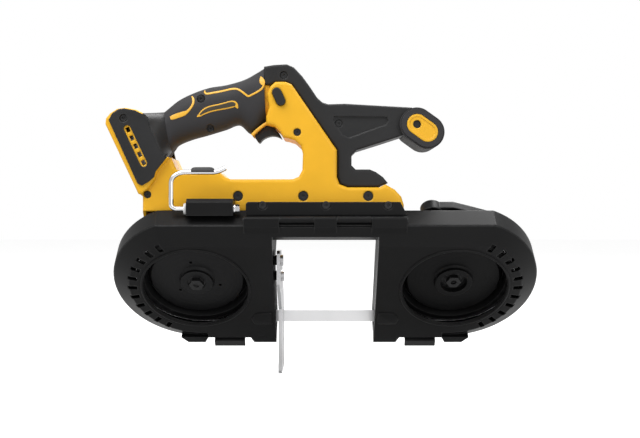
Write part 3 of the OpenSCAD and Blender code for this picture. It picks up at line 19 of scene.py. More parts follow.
import bmesh
import bpy
import numpy as np
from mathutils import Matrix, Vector


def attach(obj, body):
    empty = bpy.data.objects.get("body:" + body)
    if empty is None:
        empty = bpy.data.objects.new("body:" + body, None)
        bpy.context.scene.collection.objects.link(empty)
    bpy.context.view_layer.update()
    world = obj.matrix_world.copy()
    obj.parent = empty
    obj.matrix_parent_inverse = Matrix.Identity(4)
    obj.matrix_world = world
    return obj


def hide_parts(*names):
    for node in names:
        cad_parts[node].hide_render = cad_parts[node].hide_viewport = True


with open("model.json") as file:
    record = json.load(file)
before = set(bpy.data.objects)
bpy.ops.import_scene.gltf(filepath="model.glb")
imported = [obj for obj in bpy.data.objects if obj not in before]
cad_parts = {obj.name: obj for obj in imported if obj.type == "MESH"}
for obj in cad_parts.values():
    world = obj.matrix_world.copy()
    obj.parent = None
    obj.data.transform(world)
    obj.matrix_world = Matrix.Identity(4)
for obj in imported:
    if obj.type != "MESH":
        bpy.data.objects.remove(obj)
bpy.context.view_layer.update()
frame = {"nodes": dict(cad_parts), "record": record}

LOG = logging.getLogger("band_saw")

Array = np.ndarray
Flat = tuple[float, float]
Triple = tuple[float, float, float]
Tree = bpy.types.NodeTree
Socket = bpy.types.NodeSocket
Value = Union[float, Sequence[float], Socket]

# Millimetres in a metre
MM = 1000.0
# Stands for zero where something is divided by it
TINY = 1e-9
# Distance in metres under which two points become one
WELD = 1e-6
# Added to a point in the drawing axes to give its place in the part's own axes, in millimetres
SHIFT = np.array([1.2, 21.7, 0.0])
# Depth of the middle plane of the yellow housing
MID_Y = -46.0
# Lean of the wheels, the slab's origin and half the distance of the wheels
TILT = math.radians(42.0)
SLAB_Y, SLAB_Z = -40.850, 100.769
WHEEL_X = 129.0
# The photograph's frame and focal length in pixels, the camera's place and its sensor's width
FRAME_W, FRAME_H = 640, 438
FOCAL = 900.0
EYE = np.array([-5.2, -952.0, 158.0])
SENSOR = 36.0


# Places in the drawing axes

def upright(x: Array, z: Array, depth: Array) -> Array:
    """Points of the housing: y = MID_Y - depth, as depth counts forwards from its mid-plane."""
    x, z, depth = np.broadcast_arrays(x, z, depth)
    return np.stack([x, MID_Y - depth, z], axis=-1)


def slab(x: Array, h: Array, p: Array) -> Array:
    """Points of the leaning slab.

    The formula is (x, y0 - h sin(a) - p cos(a), z0 + h cos(a) - p sin(a)) with a = TILT.

    Args:
        x: Place along the saw.
        h: Height up the slab from the wheel centres.
        p: Height out of the cover.

    Returns:
        The points in the drawing axes.
    """
    x, h, p = np.broadcast_arrays(x, h, p)
    sin, cos = math.sin(TILT), math.cos(TILT)
    return np.stack([x, SLAB_Y - h * sin - p * cos, SLAB_Z + h * cos - p * sin], axis=-1)


def from_photo(pixels: Sequence[tuple[float, float]], y: float) -> Array:
    """The x and z at which photograph pixels lie on the plane at depth y.

    The formula is x = (u - 320) (y + 952) / 900 - 5.2 and z = 158 - (v - 219) (y + 952) / 900.
    """
    uv = np.asarray(pixels, float)
    k = (y - EYE[1]) / FOCAL
    x = (uv[:, 0] - FRAME_W / 2) * k + EYE[0]
    z = EYE[2] - (uv[:, 1] - FRAME_H / 2) * k
    return np.stack([x, z], axis=-1)


# Curves

# Largest share of a side that the rounding of its corner takes
SIDE_SHARE = 0.45


def flow(points: Array, count: int) -> Array:
    """A smooth open curve through the points, evenly spread in its parameter.

    The formula between p1 and p2 is
    (2 p1 + (p2 - p0) t + (2 p0 - 5 p1 + 4 p2 - p3) t^2 + (3 p1 - p0 - 3 p2 + p3) t^3) / 2.

    Args:
        points: The points to pass through, one a row.
        count: Number of points to return.

    Returns:
        The curve's points, one a row.
    """
    pts = np.asarray(points, float)
    spans = len(pts) - 1
    held = np.vstack([2 * pts[:1] - pts[1:2], pts, 2 * pts[-1:] - pts[-2:-1]])
    t = np.linspace(0, spans, count)
    i = np.minimum(t.astype(int), spans - 1)
    t = (t - i)[:, None]
    p0, p1, p2, p3 = held[i], held[i + 1], held[i + 2], held[i + 3]
    return 0.5 * (
        2 * p1 + (p2 - p0) * t
        + (2 * p0 - 5 * p1 + 4 * p2 - p3) * t**2
        + (3 * p1 - p0 - 3 * p2 + p3) * t**3
    )


def even(path: Array, count: int, closed: bool = False) -> Array:
    """The polyline resampled at even steps of its length."""
    pts = np.vstack([path, path[:1]]) if closed else np.asarray(path, float)
    run = np.concatenate([[0.0], np.cumsum(np.linalg.norm(np.diff(pts, axis=0), axis=1))])
    at = np.linspace(0, run[-1], count, endpoint=not closed)
    return np.stack([np.interp(at, run, pts[:, k]) for k in range(pts.shape[1])], axis=-1)


def filleted(points: Sequence[Sequence[float]], radius: float, closed: bool = False,
             steps: int = 7) -> Array:
    """A polyline whose corners are rounded off.

    Each corner b between a and c becomes the curve (1-t)^2 s + 2 t (1-t) b + t^2 e, where s and e
    lie the radius away from b towards a and c, or at most 45 % of the side.

    Args:
        points: The corners, one a row.
        radius: How far from a corner its rounding starts.
        closed: Whether the last corner joins the first.
        steps: Points on each rounding.

    Returns:
        The rounded polyline.
    """
    b = np.asarray(points, float)
    a, c = np.roll(b, 1, axis=0), np.roll(b, -1, axis=0)
    la = np.linalg.norm(a - b, axis=1, keepdims=True)
    lc = np.linalg.norm(c - b, axis=1, keepdims=True)
    s = b + (a - b) / la * np.minimum(radius, SIDE_SHARE * la)
    e = b + (c - b) / lc * np.minimum(radius, SIDE_SHARE * lc)
    t = np.linspace(0, 1, steps)[None, :, None]
    arcs = (1 - t) ** 2 * s[:, None] + 2 * t * (1 - t) * b[:, None] + t**2 * e[:, None]
    if closed:
        return arcs.reshape(-1, b.shape[1])
    return np.vstack([b[:1], arcs[1:-1].reshape(-1, b.shape[1]), b[-1:]])


def left_normals(path: Array, closed: bool = False) -> Array:
    """Unit vectors to the left of a flat path, from the central differences of its points."""
    if closed:
        step = np.roll(path, -1, axis=0) - np.roll(path, 1, axis=0)
    else:
        step = np.gradient(path, axis=0)
    step = step / np.maximum(np.linalg.norm(step, axis=1, keepdims=True), TINY)
    return np.stack([-step[:, 1], step[:, 0]], axis=-1)


def facing(normal: Array) -> tuple[Array, Array]:
    """Directions for a profile on a path of constant y: the path's flat normal, and forwards."""
    across = np.stack([normal[:, 0], np.zeros(len(normal)), normal[:, 1]], axis=-1)
    return across, np.tile([0.0, -1.0, 0.0], (len(normal), 1))


def inside(points: Array, outline: Array) -> Array:
    """Whether each point lies in the closed outline, by the even and odd rule."""
    x, z = points[..., 0, None], points[..., 1, None]
    a, b = outline, np.roll(outline, -1, axis=0)
    crosses = (a[:, 1] > z) != (b[:, 1] > z)
    rise = np.where(b[:, 1] == a[:, 1], TINY, b[:, 1] - a[:, 1])
    at = a[:, 0] + (z - a[:, 1]) / rise * (b[:, 0] - a[:, 0])
    return np.count_nonzero(crosses & (x < at), axis=-1) % 2 == 1


# Surfaces

@dataclass
class Shape:
    """Points in millimetres and the faces over them."""

    verts: Array
    faces: list[list[int]]


def skin_over(points: Array, wrap: bool = True, ring: bool = False) -> Shape:
    """A surface over a grid of points.

    Face (i, j) joins the points (i, j), (i + 1, j), (i + 1, j + 1) and (i, j + 1). A tube that
    isn't a ring is closed with a face at each end.

    Args:
        points: The grid, rows by columns by three.
        wrap: Whether the last column joins the first.
        ring: Whether the last row joins the first.

    Returns:
        The surface.
    """
    rows, cols = points.shape[:2]
    i = np.arange(rows if ring else rows - 1)[:, None]
    j = np.arange(cols if wrap else cols - 1)[None, :]
    i1, j1 = (i + 1) % rows, (j + 1) % cols
    quads = np.stack([i * cols + j, i1 * cols + j, i1 * cols + j1, i * cols + j1], axis=-1)
    faces = quads.reshape(-1, 4).tolist()
    if wrap and not ring:
        faces.append(np.arange(cols)[::-1].tolist())
        faces.append((np.arange(cols) + (rows - 1) * cols).tolist())
    return Shape(points.reshape(-1, 3), faces)


def carried(path: Array, across: Array, up: Array, section: Array,
            size: Optional[Array] = None) -> Shape:
    """A closed profile carried along an open path.

    Point (i, j) is path_i + size_i (s_j across_i + t_j up_i), where (s, t) is the profile.

    Args:
        path: The path's points.
        across: Unit vectors for the profile's first coordinate.
        up: Unit vectors for its second coordinate.
        section: The profile's points.
        size: Scale of the profile at each point of the path.

    Returns:
        The swept surface.
    """
    scale = np.ones(len(path)) if size is None else size
    flat = section[None, :, :1] * across[:, None] + section[None, :, 1:] * up[:, None]
    return skin_over(path[:, None] + scale[:, None, None] * flat)


def round_section(radius: float, count: int) -> Array:
    """A circle of the radius: (r cos(a), r sin(a))."""
    a = np.linspace(0, 2 * math.pi, count, endpoint=False)
    return radius * np.stack([np.cos(a), np.sin(a)], axis=-1)


def soft_box(half_w: float, half_h: float, power: float = 4.0, count: int = 28) -> Array:
    """A rectangle with round corners.

    The formula is (w sgn(c) |c|^(2/n), h sgn(s) |s|^(2/n)) with c = cos(a) and s = sin(a).
    """
    a = np.linspace(0, 2 * math.pi, count, endpoint=False)
    c, s = np.cos(a), np.sin(a)
    e = 2.0 / power
    x, y = half_w * np.sign(c) * np.abs(c) ** e, half_h * np.sign(s) * np.abs(s) ** e
    return np.stack([x, y], axis=-1)


def cushioned(outline: Array, low: float, high: float, radius: float,
              place: Callable[[Array, Array, Array], Array], steps: int = 5) -> Shape:
    """A plate between two depths whose edges are rounded.

    Ring k lies r (1 - cos(a)) inside the outline at the depth low + r (1 - sin(a)) or its mirror,
    where a runs from 90 degrees to 0 and back.

    Args:
        outline: The closed outline, counterclockwise.
        low: Depth of the back face.
        high: Depth of the front face.
        radius: Radius of both edges.
        place: Turns (x, z, depth) into points.
        steps: Rings on each edge.

    Returns:
        The plate.
    """
    a = np.linspace(math.pi / 2, 0, steps)
    drawn = radius * (1 - np.cos(a))
    depth = np.concatenate([low + radius * (1 - np.sin(a)), high - radius * (1 - np.sin(a[::-1]))])
    drawn = np.concatenate([drawn, drawn[::-1]])
    normal = left_normals(outline, closed=True)
    ring = outline[None] + drawn[:, None, None] * normal[None]
    level = np.broadcast_to(depth[:, None], ring.shape[:2])
    return skin_over(place(ring[..., 0], ring[..., 1], level))


def turned(profile: Array, x: float, count: int) -> Shape:
    """A closed profile of (r, p) turned round a wheel's axis: slab(x + r cos(a), r sin(a), p)."""
    a = np.linspace(0, 2 * math.pi, count, endpoint=False)[:, None]
    r = profile[None, :, 0]
    p = np.broadcast_to(profile[None, :, 1], (count, len(profile)))
    return skin_over(slab(x + r * np.cos(a), r * np.sin(a), p), ring=True)


# Finishes

# Scale per metre and octaves of the broad clouds and of the fine chips
CLOUDS: Flat = (26.0, 4.0)
CHIPS: Flat = (320.0, 5.0)
# Dot products at which an edge starts to show wear and a painted highlight, and at which both are
# strongest
EDGE_ZONE_RANGE: Flat = (0.985, 0.80)
# Range of the chips that breaks up the worn edge, and the share of the wear and painted highlight
# that always shows, so a light painted highlight line runs along every edge
CHIP_RANGE: Flat = (0.38, 0.62)
WEAR_AND_HIGHLIGHT_FLOOR = 0.45
# Range of the clouds that spreads the colour
TONE_RANGE: Flat = (0.3, 0.72)
# Range of the clouds that spreads the roughness, and how far it spreads
GLOSS_RANGE: Flat = (0.25, 0.75)
GLOSS_SPREAD = 0.14
# What a fully rubbed edge adds to the roughness
RUBBED_GLOSS = -0.25
# The rings' scale is the grain's over this, and the bump's depth is the grain's size over this
RING_SHARE = 20
BUMP_SHARE = 4
BEVEL_SAMPLES = 6
# Places of the colour sockets on the Mix node
MIX_FACTOR, MIX_BASE, MIX_TOP, MIX_RESULT = 0, 6, 7, 2


class Grain(Enum):
    """The small scale surface of a finish."""

    SPARK = "fine spark eroded mould texture"
    PEBBLE = "soft pebbled rubber"
    BRUSHED = "lines along the saw"
    TURNED = "rings round a wheel's axis"
    CAST = "shot blasted casting"
    POLISHED = "polished with hairline marks"


# Scale along the saw, which stretches the grain, and octaves of the grains that are noise
NOISE_LOOKS: dict[Grain, Flat] = {
    Grain.SPARK: (1.0, 3.0),
    Grain.BRUSHED: (0.02, 3.0),
    Grain.CAST: (1.0, 5.0),
    Grain.POLISHED: (0.12, 3.0),
}


def wire(tree: Tree, target: Union[str, bpy.types.Node],
         inputs: Mapping[Union[str, int], Value]) -> bpy.types.Node:
    """Fills or links the inputs of a node.

    Args:
        tree: The node tree.
        target: The node, or the kind of node to add.
        inputs: A value, or another node's output, for each input.

    Returns:
        The node.
    """
    node = tree.nodes.new("ShaderNode" + target) if isinstance(target, str) else target
    for key, value in inputs.items():
        if isinstance(value, Socket):
            tree.links.new(value, node.inputs[key])
        else:
            node.inputs[key].default_value = value
    return node


def reckon(tree: Tree, operation: str, *values: Value) -> Socket:
    """The output of a Math node over up to three values or sockets."""
    node = tree.nodes.new("ShaderNodeMath")
    node.operation = operation
    return wire(tree, node, dict(enumerate(values))).outputs[0]


def ranged(tree: Tree, value: Socket, start: Flat, end: Flat = (0.0, 1.0)) -> Socket:
    """The output of a Map Range node that takes the range start to the range end."""
    limits = {"From Min": start[0], "From Max": start[1], "To Min": end[0], "To Max": end[1]}
    return wire(tree, "MapRange", {"Value": value, **limits}).outputs["Result"]


def noise(tree: Tree, vector: Socket, scale: float, detail: float,
          roughness: float = 0.5) -> Socket:
    """The output of a Noise Texture node."""
    look = {"Scale": scale, "Detail": detail, "Roughness": roughness}
    return wire(tree, "TexNoise", {"Vector": vector, **look}).outputs["Fac"]


@dataclass(frozen=True)
class Finish:
    """One finish: its plain values go on the shader and its detail comes from nodes.

    The size of the grain and the radius of the edges are in millimetres. The edge mask rises as
    dot(n, b) falls, where n is the face's normal and b the normal that the Bevel node rounds off
    over that radius. Along the edges the mask paints the edge colour, which is partly wear and
    partly a painted highlight that stands for the light caught by the bevels.
    """

    name: str
    colour: Triple
    roughness: float
    grain: Grain
    size: float = 0.5
    bump: float = 0.12
    metallic: float = 0.0
    specular: float = 0.5
    coat: float = 0.0
    mottle: float = 0.12
    edge: float = 1.2
    # The next two paint the edges: partly worn paint, partly a painted highlight along the bevels
    wear_and_highlight: float = 0.35
    wear_and_highlight_colour: Triple = (0.25, 0.25, 0.25)
    centre_x: float = 0.0

    def _pattern(self, tree: Tree, coords: Socket) -> Socket:
        """The height field of the grain, from 0 to 1.

        Args:
            tree: The material's node tree.
            coords: Object coordinates in metres.

        Returns:
            The socket with the height.
        """
        mapping = wire(tree, "Mapping", {"Vector": coords})
        per_metre = MM / self.size
        if self.grain is Grain.PEBBLE:
            cells = tree.nodes.new("ShaderNodeTexVoronoi")
            cells.feature = "SMOOTH_F1"
            look = {"Scale": per_metre, "Smoothness": 0.6}
            return wire(tree, cells, {"Vector": mapping.outputs[0], **look}).outputs["Distance"]
        if self.grain is Grain.TURNED:
            mapping.vector_type = "TEXTURE"
            centre = slab(np.float64(self.centre_x), np.float64(0), np.float64(0)) + SHIFT
            turn = (math.pi / 2 + TILT, 0, 0)
            wire(tree, mapping, {"Location": tuple(centre / MM), "Rotation": turn})
            rings = tree.nodes.new("ShaderNodeTexWave")
            rings.wave_type, rings.rings_direction = "RINGS", "Z"
            look = {"Scale": per_metre / RING_SHARE, "Distortion": 0.4, "Detail": 3.0}
            return wire(tree, rings, {"Vector": mapping.outputs[0], **look}).outputs["Fac"]
        along, octaves = NOISE_LOOKS[self.grain]
        wire(tree, mapping, {"Scale": (along, 1.0, 1.0)})
        return noise(tree, mapping.outputs[0], per_metre, octaves, 0.6)

    def material(self) -> bpy.types.Material:
        """Builds the finish as a node material.

        Returns:
            The material.
        """
        mat = bpy.data.materials.new(self.name)
        mat.use_nodes = True
        mat.diffuse_color = (*self.colour, 1.0)
        tree = mat.node_tree
        coords = tree.nodes.new("ShaderNodeTexCoord").outputs["Object"]
        clouds = noise(tree, coords, *CLOUDS)
        grain = self._pattern(tree, coords)

        # Mask of wear and painted highlight along the edges, from the rounded normal, broken up by
        # the chips
        bevel = wire(tree, "Bevel", {"Radius": self.edge / MM})
        bevel.samples = BEVEL_SAMPLES
        rounded = bevel.outputs["Normal"]
        dot = tree.nodes.new("ShaderNodeVectorMath")
        dot.operation = "DOT_PRODUCT"
        true = tree.nodes.new("ShaderNodeNewGeometry").outputs["Normal"]
        wire(tree, dot, {0: rounded, 1: true})
        edge_zone = ranged(tree, dot.outputs["Value"], EDGE_ZONE_RANGE)
        chips = noise(tree, coords, *CHIPS)
        # A share of the mask always shows, so a painted highlight line runs along every edge
        broken = ranged(tree, chips, CHIP_RANGE, (self.wear_and_highlight * WEAR_AND_HIGHLIGHT_FLOOR, self.wear_and_highlight))
        wear_and_highlight_mask = reckon(tree, "MULTIPLY", edge_zone, broken)

        # Colour: the clouds darken and lighten it, the mask paints the worn edge and a lighter
        # painted highlight along it
        tone = wire(tree, "ValToRGB", {"Fac": clouds})
        low, high = tone.color_ramp.elements
        low.position, high.position = TONE_RANGE
        low.color = (*(c * (1 - self.mottle) for c in self.colour), 1.0)
        high.color = (*(min(1.0, c * (1 + self.mottle)) for c in self.colour), 1.0)
        paint = tree.nodes.new("ShaderNodeMix")
        paint.data_type = "RGBA"
        top = (*self.wear_and_highlight_colour, 1.0)
        wire(tree, paint, {MIX_FACTOR: wear_and_highlight_mask, MIX_BASE: tone.outputs["Color"], MIX_TOP: top})

        # Roughness: the clouds spread it, the rubbed edge is smoother
        smooth, dull = self.roughness * (1 - GLOSS_SPREAD), self.roughness * (1 + GLOSS_SPREAD)
        rough = ranged(tree, clouds, GLOSS_RANGE, (smooth, min(1.0, dull)))

        # Bump of the grain on top of the rounded normal
        depth = self.size / (BUMP_SHARE * MM)
        relief = wire(tree, "Bump", {
            "Strength": self.bump, "Distance": depth, "Height": grain, "Normal": rounded,
        })
        wire(tree, tree.nodes["Principled BSDF"], {
            "Base Color": paint.outputs[MIX_RESULT],
            "Roughness": reckon(tree, "MULTIPLY_ADD", wear_and_highlight_mask, RUBBED_GLOSS, rough),
            "Normal": relief.outputs["Normal"],
            "Metallic": self.metallic,
            "Specular IOR Level": self.specular,
            "Coat Weight": self.coat,
        })
        return mat


# The edge colours are mostly lighter than the base: partly wear, partly a painted highlight on the
# bevels
FINISHES: dict[str, Finish] = {
    "shell_black": Finish(
        "SatinBlackShell", (0.007, 0.007, 0.0072), 0.42, Grain.CAST, 0.9, 0.16, specular=0.16,
        edge=2.0, wear_and_highlight=0.55, wear_and_highlight_colour=(0.075, 0.075, 0.076)),
    "cover_black": Finish(
        "GrainedBlackCover", (0.006, 0.006, 0.0062), 0.36, Grain.SPARK, 0.6, 0.16, specular=0.16,
        edge=1.6, wear_and_highlight=0.55, wear_and_highlight_colour=(0.075, 0.075, 0.076)),
    "plastic_black": Finish(
        "MouldedBlackPlastic", (0.019, 0.019, 0.0196), 0.42, Grain.SPARK, 0.5, 0.18,
        specular=0.28, edge=2.0, wear_and_highlight=0.55, wear_and_highlight_colour=(0.085, 0.085, 0.086)),
    "body_yellow": Finish(
        "MouldedYellowPlastic", (0.93, 0.49, 0.018), 0.38, Grain.SPARK, 0.5, 0.10, specular=0.35,
        edge=2.4, mottle=0.05, wear_and_highlight=0.45, wear_and_highlight_colour=(1.0, 0.66, 0.10)),
    "grip_rubber": Finish(
        "PebbledGripRubber", (0.033, 0.032, 0.034), 0.62, Grain.PEBBLE, 0.9, 0.35, edge=0.8,
        specular=0.3, wear_and_highlight=0.2, wear_and_highlight_colour=(0.09, 0.09, 0.09)),
    "tyre_rubber": Finish(
        "WheelTyreRubber", (0.022, 0.022, 0.023), 0.72, Grain.CAST, 0.5, 0.25, edge=0.6,
        specular=0.35, wear_and_highlight=0.3, wear_and_highlight_colour=(0.06, 0.06, 0.06)),
    "steel": Finish(
        "GroundSteel", (0.66, 0.67, 0.68), 0.30, Grain.BRUSHED, 0.35, 0.22, metallic=1.0,
        mottle=0.07, edge=0.25, wear_and_highlight=0.4, wear_and_highlight_colour=(0.85, 0.85, 0.86)),
    "plated_steel": Finish(
        "ZincPlatedSteel", (0.60, 0.60, 0.61), 0.34, Grain.CAST, 1.4, 0.12, metallic=1.0,
        mottle=0.12, edge=0.5, wear_and_highlight=0.4, wear_and_highlight_colour=(0.85, 0.85, 0.86)),
    "black_steel": Finish(
        "BlackOxideSteel", (0.012, 0.012, 0.0125), 0.36, Grain.CAST, 0.5, 0.2, metallic=0.2,
        edge=0.5, wear_and_highlight=0.55, wear_and_highlight_colour=(0.12, 0.12, 0.12)),
    "chrome": Finish(
        "BrightChrome", (0.84, 0.84, 0.85), 0.14, Grain.POLISHED, 0.5, 0.04, metallic=1.0,
        mottle=0.05, edge=0.3, wear_and_highlight=0.2, wear_and_highlight_colour=(0.9, 0.9, 0.9)),
    "wheel_metal": Finish(
        "BlackCastWheel", (0.012, 0.012, 0.0125), 0.40, Grain.TURNED, 0.8, 0.25, specular=0.2,
        metallic=0.15, edge=0.8, wear_and_highlight=0.4, wear_and_highlight_colour=(0.12, 0.12, 0.12), centre_x=-WHEEL_X),
    "contact": Finish(
        "TinnedContacts", (0.62, 0.52, 0.34), 0.28, Grain.BRUSHED, 0.3, 0.15, metallic=1.0,
        mottle=0.1, edge=0.2, wear_and_highlight=0.3, wear_and_highlight_colour=(0.8, 0.75, 0.6)),
    "board": Finish(
        "LacqueredBoard", (0.02, 0.16, 0.07), 0.30, Grain.CAST, 1.2, 0.1, coat=0.4, edge=0.3,
        wear_and_highlight=0.1),
    "winding": Finish(
        "EnamelledWinding", (0.42, 0.16, 0.05), 0.30, Grain.BRUSHED, 0.6, 0.5, metallic=0.8,
        coat=0.5, edge=0.3, wear_and_highlight=0.1),
}

# Finishes of single pieces that differ from their slot's; their edge colours also paint a highlight
# along the edges as well as wear
PIECE_FINISHES: dict[str, Finish] = {
    "trim_yellow": Finish(
        "TrimYellow", (0.93, 0.50, 0.040), 0.36, Grain.SPARK, 0.4, 0.08, edge=0.3, mottle=0.04,
        wear_and_highlight=0.15, wear_and_highlight_colour=(1.0, 0.7, 0.2)),
    "trim_dark": Finish(
        "TrimDark", (0.050, 0.040, 0.022), 0.45, Grain.SPARK, 0.4, 0.1, edge=0.3, wear_and_highlight=0.1),
    "idler_metal": Finish(
        "BlackCastIdler", (0.006, 0.006, 0.0062), 0.42, Grain.TURNED, 0.8, 0.25, specular=0.14,
        metallic=0.0, edge=0.8, wear_and_highlight=0.4, wear_and_highlight_colour=(0.12, 0.12, 0.12), centre_x=WHEEL_X),
    "rest_rubber": Finish(
        "HookRestRubber", (0.040, 0.040, 0.041), 0.6, Grain.PEBBLE, 0.7, 0.3, edge=0.6, wear_and_highlight=0.2,
        wear_and_highlight_colour=(0.1, 0.1, 0.1)),
    "blade_steel": Finish(
        "BladeSteel", (0.90, 0.90, 0.91), 0.36, Grain.BRUSHED, 0.3, 0.2, metallic=0.9,
        mottle=0.05, edge=0.12, wear_and_highlight=0.3, wear_and_highlight_colour=(0.92, 0.92, 0.92)),
    "clean_white": Finish(
        "WhiteNylon", (0.80, 0.80, 0.79), 0.42, Grain.SPARK, 0.4, 0.1, edge=0.3, mottle=0.03,
        wear_and_highlight=0.1, wear_and_highlight_colour=(0.9, 0.9, 0.9)),
}


@dataclass
class Paintbox:
    """Makes each finish once and hands it out by name."""

    made: dict[str, bpy.types.Material] = field(default_factory=dict)

    def get(self, name: str) -> bpy.types.Material:
        """The material for a slot or a piece's own finish."""
        if name not in self.made:
            self.made[name] = (PIECE_FINISHES.get(name) or FINISHES[name]).material()
        return self.made[name]


PAINT = Paintbox()


def make_piece(name: str, shape: Shape, finish: str, slot: str, body: str,
               replaces: Sequence[str] = (), crease: float = 38.0) -> bpy.types.Object:
    """Turns a shape into a finished piece that rides on a body.

    Args:
        name: Name of the piece.
        shape: Its surface in drawing millimetres.
        finish: Name of its finish.
        slot: Not used.
        body: The body that it moves with.
        replaces: Solids that it stands for.
        crease: Angle over which an edge stays sharp, in degrees.

    Returns:
        The object.
    """
    mesh = bpy.data.meshes.new(name)
    mesh.from_pydata(((shape.verts + SHIFT) / MM).tolist(), [], shape.faces)
    work = bmesh.new()
    work.from_mesh(mesh)
    bmesh.ops.remove_doubles(work, verts=work.verts, dist=WELD)
    bmesh.ops.recalc_face_normals(work, faces=work.faces)
    work.to_mesh(mesh)
    work.free()
    mesh.polygons.foreach_set("use_smooth", np.ones(len(mesh.polygons), bool))
    mesh.set_sharp_from_angle(angle=math.radians(crease))
    mesh.materials.append(PAINT.get(finish))
    obj = bpy.data.objects.new(name, mesh)
    bpy.context.scene.collection.objects.link(obj)
    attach(obj, body)
    if replaces:
        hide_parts(*replaces)
    LOG.info("%s: %d points on %s", name, len(mesh.vertices), body)
    return obj


# Rear handle

# Both sides of the housing, as the sign of the depth and the name's end
SIDES: tuple[tuple[float, str], ...] = ((1.0, "front"), (-1.0, "rear"))
# Crease angle of the handle's skin and of the slope beside it, in degrees
SKIN_CREASE = 50.0


@dataclass
class RearGrip:
    """The soft skin of the rear handle, in two halves that meet in the middle plane.

    Each row holds the points (x, z) of the upper and the lower edge, and each screw its x, z,
    level and radius. The trigger's outline is swept back by sweep to open its slot.
    """

    rows: tuple[tuple[Flat, Flat], ...] = (
        ((-171, 256.5), (-156.2, 219)), ((-158, 267.5), (-152, 226)), ((-146, 277), (-147, 232)),
        ((-132, 284), (-134, 237.5)), ((-116, 289.5), (-118, 242)), ((-98, 292.5), (-100, 247.5)),
        ((-81, 297.5), (-86, 252)), ((-69, 304), (-73.2, 243.2)), ((-61, 309), (-58.8, 256.2)),
    )
    half: float = 19.0
    wall: float = 3.0
    fullness: float = 0.8
    seam: float = 0.05
    stations: int = 300
    around: int = 110
    screws: tuple[tuple[float, float, float, float], ...] = (
        (-123.0, 277.0, 16.4, 3.8), (-114.0, 248.0, 11.6, 3.3),
    )
    screw_sink: float = 2.6
    screw_play: float = 0.35
    screw_soft: float = 0.5
    slot_half: float = 8.2
    slot_back: float = 0.8
    sweep: Flat = (-0.34, 0.94)
    sweep_far: float = 7.0
    sweep_steps: int = 8
    trigger: tuple[Flat, ...] = (
        (-71, 240.6), (-66, 233), (-63, 237.5), (-57.5, 240.5), (-51.5, 241.5), (-46, 240),
        (-42.6, 237.6), (-46, 244), (-50.5, 248.4), (-53, 252), (-62, 252), (-64, 246.4),
    )

    def surface(self, inset: float) -> Array:
        """Half of the handle's surface drawn in by inset, as (x, z, depth).

        With the upper and lower edge T, B and the angle a from 0 to 180 degrees the formula is
        (T + B) / 2 + (T - B) / 2 sgn(cos a) |cos a|^f and depth = (half - inset) (sin a)^f.

        Args:
            inset: How far below the outer surface.

        Returns:
            The grid, stations by around by three.
        """
        rows = np.asarray(self.rows, float)
        top = flow(rows[:, 0], self.stations)
        low = flow(rows[:, 1], self.stations)
        n = (top - low) / np.linalg.norm(top - low, axis=1, keepdims=True)
        top, low = top - n * inset, low + n * inset
        a = np.linspace(0, math.pi, self.around)
        c = np.sign(np.cos(a)) * np.abs(np.cos(a)) ** self.fullness
        flat = ((top + low) / 2)[:, None] + ((top - low) / 2)[:, None] * c[None, :, None]
        depth = (self.half - inset) * np.clip(np.sin(a), 0, 1) ** self.fullness
        depth = np.broadcast_to(depth[None], flat.shape[:2])
        return np.concatenate([flat, depth[..., None]], axis=-1)

    def _sunk(self, grid: Array) -> Array:
        """The outer surface with the round recesses of the screws."""
        out = grid.copy()
        for x, z, level, radius in self.screws:
            away = np.hypot(out[..., 0] - x, out[..., 1] - z)
            share = np.clip((radius + self.screw_play - away) / self.screw_soft, 0, 1)
            sunk = out[..., 2] * (1 - share) + (level - self.screw_sink) * share
            out[..., 2] = np.minimum(out[..., 2], sunk)
        return out

    def _slotted(self, grid: Array, extra: float) -> Array:
        """The surface with the trigger's slot pressed open to its half width."""
        out = grid.copy()
        outline = np.asarray(self.trigger, float)
        shifts = np.array(self.sweep) * np.linspace(0, self.sweep_far, self.sweep_steps)[:, None]
        flat = out[..., :2].reshape(-1, 2)
        swept = np.any(np.stack([inside(flat - s, outline) for s in shifts]), axis=0)
        opened = np.maximum(out[..., 2], self.slot_half + extra)
        out[..., 2] = np.where(swept.reshape(out.shape[:2]), opened, out[..., 2])
        return out

    def build(self) -> None:
        """Makes both halves of the skin."""
        outer = self._slotted(self._sunk(self.surface(0.0)), 0.0)
        inner = self._slotted(self.surface(self.wall), self.slot_back)
        loop = np.concatenate([outer, inner[:, ::-1]], axis=1)
        for sign, side in SIDES:
            depth = sign * np.maximum(loop[..., 2], self.seam)
            make_piece(f"grip_skin_{side}", skin_over(upright(loop[..., 0], loop[..., 1], depth)),
                       "grip_rubber", "grip_rubber", "saw_body", replaces=[f"grip_{side}"],
                       crease=SKIN_CREASE)


